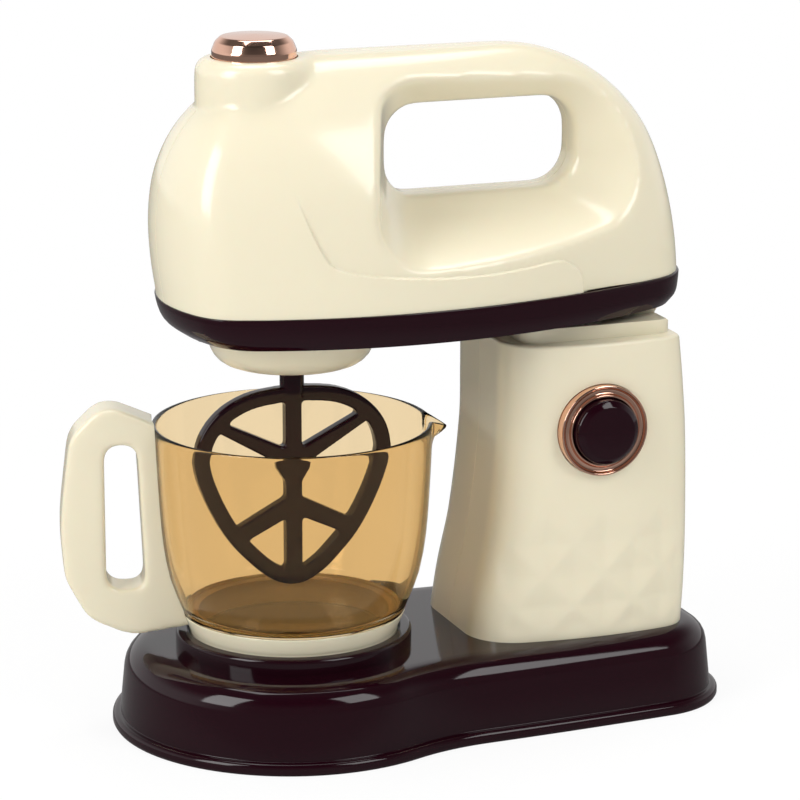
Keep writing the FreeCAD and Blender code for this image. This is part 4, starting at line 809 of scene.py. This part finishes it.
class MIXER_OT_column(bpy.types.Operator):
    """Cream column with its cut pattern, the seam and the hole for the side button"""
    bl_idname = "mixer.column"
    bl_label = "Column"

    def execute(self, context):
        levels = [26.0 + 1.25 * k for k in range(78)] + [122.6, 123.0, 123.3, 123.5]
        rounding = {122.6: 0.0, 123.0: 0.15, 123.3: 0.45, 123.5: 1.1}
        depth = sizes().facet_depth / MM
        rings = []
        for z in levels:
            inset = rounding.get(z, 0.0)
            ring = []
            for p in column_outline(*between(COLUMN_OUTLINES, z), inset):
                press = 0.0
                if abs(p.y) > 20.0:
                    press = depth * facet_depth(p.x - BOWL_X, z)
                ring.append((p.x, p.y - math.copysign(press, p.y), z))
            rings.append(ring)
        column = stack("column", rings)
        bisect(column, (BOWL_X + 122.1, 0, 123.6), (2.3, 0, 3.9))
        seam(column)
        bx, bz = SIDE_BUTTON
        cut(column,
            lathe("seat", [(0, -60.0, 0), (15.1, -60.0, 0), (15.1, -30.2, 0), (0, -30.2, 0)], (bx, bz), "Y"),
            lathe("pocket", [(0, -50.0, 0), (12.6, -50.0, 0), (12.6, -4.0, 0), (0, -4.0, 0)], (bx, bz), "Y"))
        smooth(column, 16.0)
        settle(column, "column", "stand", cream(), "cream", "column_shell_left", "column_shell_right")
        return {"FINISHED"}


class MIXER_OT_base(bpy.types.Operator):
    """Dark base with its lip, its rounded deck and the raised seat for the bowl"""
    bl_idname = "mixer.base"
    bl_label = "Base"

    def execute(self, context):
        section = round_corners([
            (14.0, 23.6, 0.0), (7.2, 23.6, 5.0), (4.6, 0.0, 0.3), (0.5, 0.0, 0.4), (0.0, 0.9, 0.4),
            (0.0, 3.8, 1.7), (2.5, 3.9, 0.35), (4.8, 26.0, 8.0), (15.0, 26.0, 0.0),
        ], 6)
        base = stack("base", [[(p.x, p.y, z) for p in base_outline(inset)] for inset, z in section])
        centre = (BOWL_X, 0.0)
        join(base, lathe("collar", [(0, 25.0, 0), (38.2, 25.0, 0), (38.2, 31.0, 1.3), (0, 31.0, 0)],
                         centre, count=160))
        cut(base, lathe("recess", [(0, 27.5, 0), (34.6, 27.5, 0), (34.6, 33.0, 0), (0, 33.0, 0)],
                        centre, count=160))
        smooth(base)
        settle(base, "base", "stand", maroon(), "maroon", "base_shell")
        return {"FINISHED"}


BOWL_TURN = math.radians(-13.0)
BOWL_WALL = 1.6
BOWL_RIM_Z = 98.8
BOWL_LEVELS = (41.5, 45, 50, 56, 62, 68, 74, 80, 84, 87, 90, 93, 95.5, 97.4)
SPOUT_LOW_Z = 90.0
SPOUT_HALF_ANGLE = math.radians(8.5)
SPOUT_DROP = 2.6
BOWL_WALL_LINE = [(36.0, 37.0), (37.8, 41.5), (40.8, 50.0), (42.9, 62.0), (44.2, 80.0), (45.0, BOWL_RIM_Z)]


def bowl_radius(z, inset=0.0):
    return between([(z, r) for r, z in BOWL_WALL_LINE], z)[0] - inset


def turned_to_bowl(points):
    """Turns points about the bowl's axis and brings them to its place."""
    c, s = math.cos(BOWL_TURN), math.sin(BOWL_TURN)
    return [(BOWL_X + x * c - y * s, x * s + y * c, z) for x, y, z in points]


class MIXER_OT_bowl(bpy.types.Operator):
    """Clear amber bowl with its pouring spout"""
    bl_idname = "mixer.bowl"
    bl_label = "Bowl"

    def execute(self, context):
        count = 180
        outside = [(AXIS_R, 35.8), (20.0, 35.8), (34.2, 35.8), (35.0, 36.1), (35.6, 36.6)]
        outside += [(bowl_radius(z), z) for z in (37.4, 39.0, *BOWL_LEVELS)]
        outside += [(44.9, 98.2), (44.7, 98.65), (44.2, BOWL_RIM_Z), (43.7, 98.65), (43.45, 98.2)]
        inside = [(bowl_radius(z, BOWL_WALL), z) for z in (*reversed(BOWL_LEVELS), 39.6)]
        inside += [(34.2, 38.4), (33.2, 37.6), (32.2, 37.4), (18.0, 37.4), (AXIS_R, 37.4)]
        reach = sizes().spout_reach / MM
        rings = []
        for r, z in outside + inside:
            lift = eased((z - SPOUT_LOW_Z) / (BOWL_RIM_Z - SPOUT_LOW_Z))
            ring = []
            for k in range(count):
                a = 2 * math.pi * k / count
                off = abs((a + math.pi) % (2 * math.pi) - math.pi) / SPOUT_HALF_ANGLE
                beak = max(0.0, 1.0 - off) ** 1.25 * lift if r > 30 else 0.0
                radius = r + reach * beak
                ring.append((radius * math.cos(a), radius * math.sin(a), z - SPOUT_DROP * beak))
            rings.append(turned_to_bowl(ring))
        bowl = stack("bowl", rings)
        smooth(bowl, 50.0)
        settle(bowl, "bowl_amber", "bowl_body", amber(), "amber", "bowl")
        return {"FINISHED"}


class MIXER_OT_bowl_fittings(bpy.types.Operator):
    """Cream handle and cream foot ring of the bowl"""
    bl_idname = "mixer.bowl_fittings"
    bl_label = "Bowl Handle and Foot"

    def execute(self, context):
        outline = round_corners([
            (-30.0, 95.0, 0.0), (-60.2, 107.9, 9.0), (-71.4, 97.1, 12.0), (-75.0, 68.4, 90.0),
            (-73.6, 50.8, 12.0), (-66.6, 37.5, 12.0), (-53.0, 31.2, 16.0), (-30.0, 34.5, 0.0),
        ], 10)
        opening = round_corners([
            (-60.4, 46.6, 5.2), (-60.4, 94.4, 4.6), (-50.0, 94.4, 4.6), (-47.9, 46.6, 4.2),
        ], 8)
        handle = slab("handle", outline, -7.4, 7.4)
        cut(handle, slab("opening", opening, -12.0, 12.0))
        soften(handle, 0.8 * MM, 24)
        for vertex in handle.data.vertices:
            vertex.co = Vector(turned_to_bowl([vertex.co / MM])[0]) * MM
        body = [(0, 31.0, 0), (33.9, 31.0, 0), (36.3, 37.0, 0)]
        body += [(bowl_radius(z) + 0.02, z, 0) for z in (39, *BOWL_LEVELS[:8], 90, BOWL_RIM_Z)]
        body += [(45.02, 120.0, 0), (0, 120.0, 0)]
        cut(handle, lathe("body", body, (BOWL_X, 0.0), count=144))
        smooth(handle, 50.0)
        settle(handle, "bowl_handle_loop", "bowl_body", cream(), "cream", "bowl_handle")
        foot = tube("foot", [
            (31.0, 27.8, 0.2), (33.7, 27.8, 0.4), (33.7, 31.2, 0.6), (36.2, 37.0, 0.25), (36.0, 37.0, 0),
            (34.6, 35.75, 0), (31.0, 35.75, 0),
        ], (BOWL_X, 0.0), count=144, steps=3)
        smooth(foot)
        settle(foot, "bowl_foot", "bowl_body", cream(), "cream", "bowl_foot_ring")
        return {"FINISHED"}


class MIXER_OT_beater(bpy.types.Operator):
    """Flat maroon beater: a leaf-shaped frame with a centre bar, two pairs of arms and a small web"""
    bl_idname = "mixer.beater"
    bl_label = "Beater"

    def execute(self, context):
        half = 2.4
        right = [
            (0.0, 110.7), (8.0, 110.3), (15.5, 109.0), (22.5, 105.9), (27.8, 101.4), (31.4, 95.8),
            (33.0, 89.0), (32.4, 84.0), (30.9, 79.0), (28.1, 72.3), (24.2, 65.0), (20.0, 59.0),
            (15.2, 53.8), (11.4, 50.2), (7.5, 47.4), (3.8, 45.7), (0.0, 45.1),
        ]
        loop = [(BOWL_X + x, z) for x, z in right] + [(BOWL_X - x, z) for x, z in reversed(right[1:-1])]
        outline = through(loop, 4, closed=True)
        beater = slab("beater", outline, -half, half)
        cut(beater, slab("window", offset(outline, 5.0), -half - 1, half + 1))

        def bar(points, side):
            return slab("bar", [(BOWL_X + side * x, z) for x, z in points], -half, half)

        join(beater, bar([(-2.7, 47.0), (2.7, 47.0), (2.7, 109.5), (-2.7, 109.5)], 1))
        for side in (-1, 1):
            join(beater,
                 bar([(0, 89.3), (25.0, 101.5), (27.5, 98.9), (7.5, 86.9), (2.6, 79.2), (0, 79.2)], side),
                 bar([(0, 75.5), (22.0, 64.1), (19.3, 59.5), (2.0, 67.7), (0, 68.6)], side))
        soften(beater, 0.5 * MM, 7)
        stem = lathe("stem", [(0, 107.0, 0), (3.9, 107.0, 0), (3.9, 126.0, 0.4), (0, 126.0, 0)],
                     (BOWL_X, 0.0), count=48)
        join(beater, stem)
        smooth(beater, 45.0)
        settle(beater, "beater_paddle", "beater_set", maroon(), "maroon", "beater")
        return {"FINISHED"}


class MIXER_OT_buttons(bpy.types.Operator):
    """Copper top button, copper bezel and dark side button"""
    bl_idname = "mixer.buttons"
    bl_label = "Buttons"

    def execute(self, context):
        cap = lathe("cap", [
            (0, 211.5, 0), (13.3, 211.5, 0.3), (13.3, 219.0, 2.4), (12.2, 221.7, 1.4), (10.5, 223.3, 1.4),
            (0, 223.9, 0),
        ], TURRET, count=128, steps=6)
        stem = lathe("stem", [(0, 198.0, 0), (3.0, 198.0, 0.3), (3.0, 212.0, 0), (0, 212.0, 0)],
                     TURRET, count=48)
        join(cap, stem)
        smooth(cap)
        settle(cap, "top_button_cap", "top_button_body", copper(), "copper", "top_button")
        bezel = tube("bezel", [
            (11.0, -24.0, 0.0), (11.0, -34.2, 0.3), (11.7, -34.2, 0.3), (12.2, -33.2, 0.6),
            (13.7, -33.0, 0.8), (14.2, -34.4, 0.35), (14.9, -34.1, 0.4), (14.9, -30.2, 0.0),
            (12.4, -30.2, 0.0), (12.4, -24.0, 0.0),
        ], SIDE_BUTTON, "Y", 128, 4)
        smooth(bezel)
        settle(bezel, "side_bezel", "stand", copper(), "copper", "switch_bezel")
        button = lathe("button", [
            (0, -12.0, 0), (3.0, -12.0, 0.2), (3.0, -22.0, 0), (11.6, -22.0, 0.2), (11.6, -23.6, 0.2),
            (10.7, -23.6, 0), (10.7, -36.6, 1.4), (8.6, -38.2, 0.9), (5.0, -38.4, 4.0), (0, -38.5, 0),
        ], SIDE_BUTTON, "Y", 96, 6)
        smooth(button)
        settle(button, "side_push_button", "side_button_body", maroon(), "maroon", "side_button")
        return {"FINISHED"}


class MIXER_OT_inner_parts(bpy.types.Operator):
    """Finishes for the nodes that are shown as the frame gives them: hinge, screws, drive and battery bay"""
    bl_idname = "mixer.inner_parts"
    bl_label = "Inner Parts"

    def execute(self, context):
        slots = {part["node"]: part["material_slot"] for part in frame["record"]["subparts"]}
        for name, obj in frame["nodes"].items():
            obj.data.materials.clear()
            obj.data.materials.append(FINISHES[slots[name]]())
        return {"FINISHED"}


CAMERA_AZIMUTH = math.radians(-20.5)
CAMERA_ELEVATION = math.radians(14.3)
CAMERA_DISTANCE = 1155.0 * MM
CAMERA_TARGET = Vector((-4.2, 0.0, 102.5)) * MM
# Each lamp: name, place, turn in degrees, size, power
LAMPS = (
    ("key_softbox", (0.55, -0.95, 1.05), (52, 0, 30), (0.55, 0.8), 6.6),
    ("side_softbox", (-1.05, -0.35, 0.75), (60, 0, -72), (0.5, 0.9), 8.5),
    ("top_softbox", (0.1, 0.25, 1.3), (-10, 0, 0), (0.9, 0.5), 6.0),
)


class MIXER_OT_stage(bpy.types.Operator):
    """Pale floor, soft studio light and the camera"""
    bl_idname = "mixer.stage"
    bl_label = "Stage"

    def execute(self, context):
        deselect()
        bpy.ops.mesh.primitive_plane_add(size=6.0, location=(0, 0, 0))
        floor = bpy.context.object
        floor.name = "floor"
        floor.data.materials.append(floor_material())
        white_world()
        for name, place, turn, size, power in LAMPS:
            bpy.ops.object.light_add(type="AREA", location=place, rotation=[math.radians(a) for a in turn])
            lamp = bpy.context.object
            lamp.name = name
            lamp.data.shape = "RECTANGLE"
            lamp.data.size, lamp.data.size_y = size
            lamp.data.energy = power
        level = math.cos(CAMERA_ELEVATION)
        back = Vector((math.sin(CAMERA_AZIMUTH) * level, -math.cos(CAMERA_AZIMUTH) * level,
                       math.sin(CAMERA_ELEVATION)))
        bpy.ops.object.camera_add(location=CAMERA_TARGET + back * CAMERA_DISTANCE)
        camera = bpy.context.object
        camera.rotation_mode = "QUATERNION"
        camera.rotation_quaternion = (-back).to_track_quat("-Z", "Y")
        camera.data.sensor_width = 36.0
        camera.data.lens = 161.1
        camera.data.clip_start = 0.05
        context.scene.camera = camera
        context.scene.view_settings.view_transform = "Standard"
        return {"FINISHED"}


def mirror_rays(tree, rays, x, y):
    """1 for rays that a surface mirrored, 0 for those that passed through clear plastic or came first."""
    only = node(tree, "ShaderNodeMath", x, y, operation="SUBTRACT", use_clamp=True)
    tree.links.new(rays.outputs["Is Glossy Ray"], only.inputs[0])
    tree.links.new(rays.outputs["Is Transmission Ray"], only.inputs[1])
    return only.outputs[0]


def seen_rays(tree, rays, x, y):
    """1 for camera, glossy and transmission rays, 0 for the rest."""
    seen = node(tree, "ShaderNodeMath", x, y, operation="MAXIMUM")
    seen_too = node(tree, "ShaderNodeMath", x + 170, y, operation="MAXIMUM")
    tree.links.new(rays.outputs["Is Camera Ray"], seen.inputs[0])
    tree.links.new(rays.outputs["Is Glossy Ray"], seen.inputs[1])
    tree.links.new(seen.outputs[0], seen_too.inputs[0])
    tree.links.new(rays.outputs["Is Transmission Ray"], seen_too.inputs[1])
    return seen_too.outputs[0]


def ramp_of(tree, value, x, y, low, high, start, end, kind="LINEAR"):
    """A value mapped from the range low to high to the range start to end."""
    ramp = node(tree, "ShaderNodeMapRange", x, y, interpolation_type=kind)
    ramp.inputs["From Min"].default_value = low
    ramp.inputs["From Max"].default_value = high
    ramp.inputs["To Min"].default_value = start
    ramp.inputs["To Max"].default_value = end
    tree.links.new(value, ramp.inputs["Value"])
    return ramp.outputs["Result"]


def product(tree, a, b, x, y):
    made = node(tree, "ShaderNodeMath", x, y, operation="MULTIPLY")
    tree.links.new(a, made.inputs[0])
    tree.links.new(b, made.inputs[1])
    return made.outputs[0]


def floor_material():
    """A pale floor that reads as white paper to the camera, is dimmer in mirrors and takes a soft shadow."""
    material = bpy.data.materials.new("pale_floor")
    material.use_nodes = True
    tree = material.node_tree
    tree.nodes.clear()
    link = tree.links.new
    surface = node(tree, "ShaderNodeOutputMaterial", 500, 0)
    matt = node(tree, "ShaderNodeBsdfDiffuse", -100, -100)
    matt.inputs["Color"].default_value = (0.9, 0.9, 0.9, 1.0)
    glow = node(tree, "ShaderNodeEmission", -100, 100)
    mix = node(tree, "ShaderNodeMixShader", 250, 0)
    rays = node(tree, "ShaderNodeLightPath", -700, 300)
    place = node(tree, "ShaderNodeTexCoord", -900, 600)
    away = node(tree, "ShaderNodeVectorMath", -700, 600, operation="LENGTH")
    link(place.outputs["Object"], away.inputs[0])
    whiter = ramp_of(tree, away.outputs["Value"], -500, 600, 0.2, 0.42, 0.88, 1.0)
    share = product(tree, seen_rays(tree, rays, -450, 300), whiter, -50, 300)
    strength = ramp_of(tree, mirror_rays(tree, rays, -250, 900), -50, 900, 0.0, 1.0, 1.0, 0.2)
    link(strength, glow.inputs["Strength"])
    link(share, mix.inputs["Fac"])
    link(matt.outputs[0], mix.inputs[1])
    link(glow.outputs[0], mix.inputs[2])
    link(mix.outputs[0], surface.inputs["Surface"])
    return material


def white_world():
    """White for the camera and clear plastic, dimmer in mirrors overhead and in front, even for the rest."""
    world = bpy.data.worlds.new("studio")
    bpy.context.scene.world = world
    world.use_nodes = True
    tree = world.node_tree
    tree.nodes.clear()
    link = tree.links.new
    surface = node(tree, "ShaderNodeOutputWorld", 500, 0)
    soft = node(tree, "ShaderNodeBackground", 0, -100)
    soft.inputs["Strength"].default_value = 0.66
    seen_white = node(tree, "ShaderNodeBackground", 0, 100)
    rays = node(tree, "ShaderNodeLightPath", -500, 200)
    place = node(tree, "ShaderNodeTexCoord", -900, 500)
    parts = node(tree, "ShaderNodeSeparateXYZ", -700, 500)
    link(place.outputs["Generated"], parts.inputs["Vector"])
    height = ramp_of(tree, parts.outputs["Z"], -500, 500, 0.3, 0.75, 1.0, 0.14, "SMOOTHSTEP")
    depth = ramp_of(tree, parts.outputs["Y"], -500, 750, -0.75, 0.25, 0.2, 1.0, "SMOOTHSTEP")
    strength = node(tree, "ShaderNodeMix", -100, 600)
    strength.inputs["A"].default_value = 1.0
    link(mirror_rays(tree, rays, -300, 850), strength.inputs["Factor"])
    link(product(tree, height, depth, -300, 600), strength.inputs["B"])
    link(strength.outputs["Result"], seen_white.inputs["Strength"])
    mix = node(tree, "ShaderNodeMixShader", 250, 0)
    link(seen_rays(tree, rays, -300, 200), mix.inputs["Fac"])
    link(soft.outputs[0], mix.inputs[1])
    link(seen_white.outputs[0], mix.inputs[2])
    link(mix.outputs[0], surface.inputs["Surface"])


class MIXER_PT_panel(bpy.types.Panel):
    """Lists the mixer's pieces with their sizes and colours"""
    bl_idname = "MIXER_PT_panel"
    bl_label = "Toy Stand Mixer"
    bl_space_type = "VIEW_3D"
    bl_region_type = "UI"
    bl_category = "Mixer"

    def draw(self, context):
        layout = self.layout
        for group, props in ((MixerSizes, sizes()), (MixerColours, colours())):
            for name in group.__annotations__:
                layout.prop(props, name)
        for piece in PIECES:
            layout.operator(piece.bl_idname)


PIECES = (
    MIXER_OT_stage,
    MIXER_OT_inner_parts,
    MIXER_OT_base,
    MIXER_OT_column,
    MIXER_OT_head,
    MIXER_OT_band,
    MIXER_OT_boss,
    MIXER_OT_buttons,
    MIXER_OT_beater,
    MIXER_OT_bowl,
    MIXER_OT_bowl_fittings,
)
CLASSES = (MixerSizes, MixerColours, *PIECES, MIXER_PT_panel)


def register():
    for cls in CLASSES:
        bpy.utils.register_class(cls)
    bpy.types.Scene.mixer_sizes = PointerProperty(type=MixerSizes)
    bpy.types.Scene.mixer_colours = PointerProperty(type=MixerColours)


def unregister():
    del bpy.types.Scene.mixer_colours
    del bpy.types.Scene.mixer_sizes
    for cls in reversed(CLASSES):
        bpy.utils.unregister_class(cls)


def main():
    register()
    for piece in PIECES:
        group, name = piece.bl_idname.split(".")
        getattr(getattr(bpy.ops, group), name)()


if __name__ == "__main__":
    main()
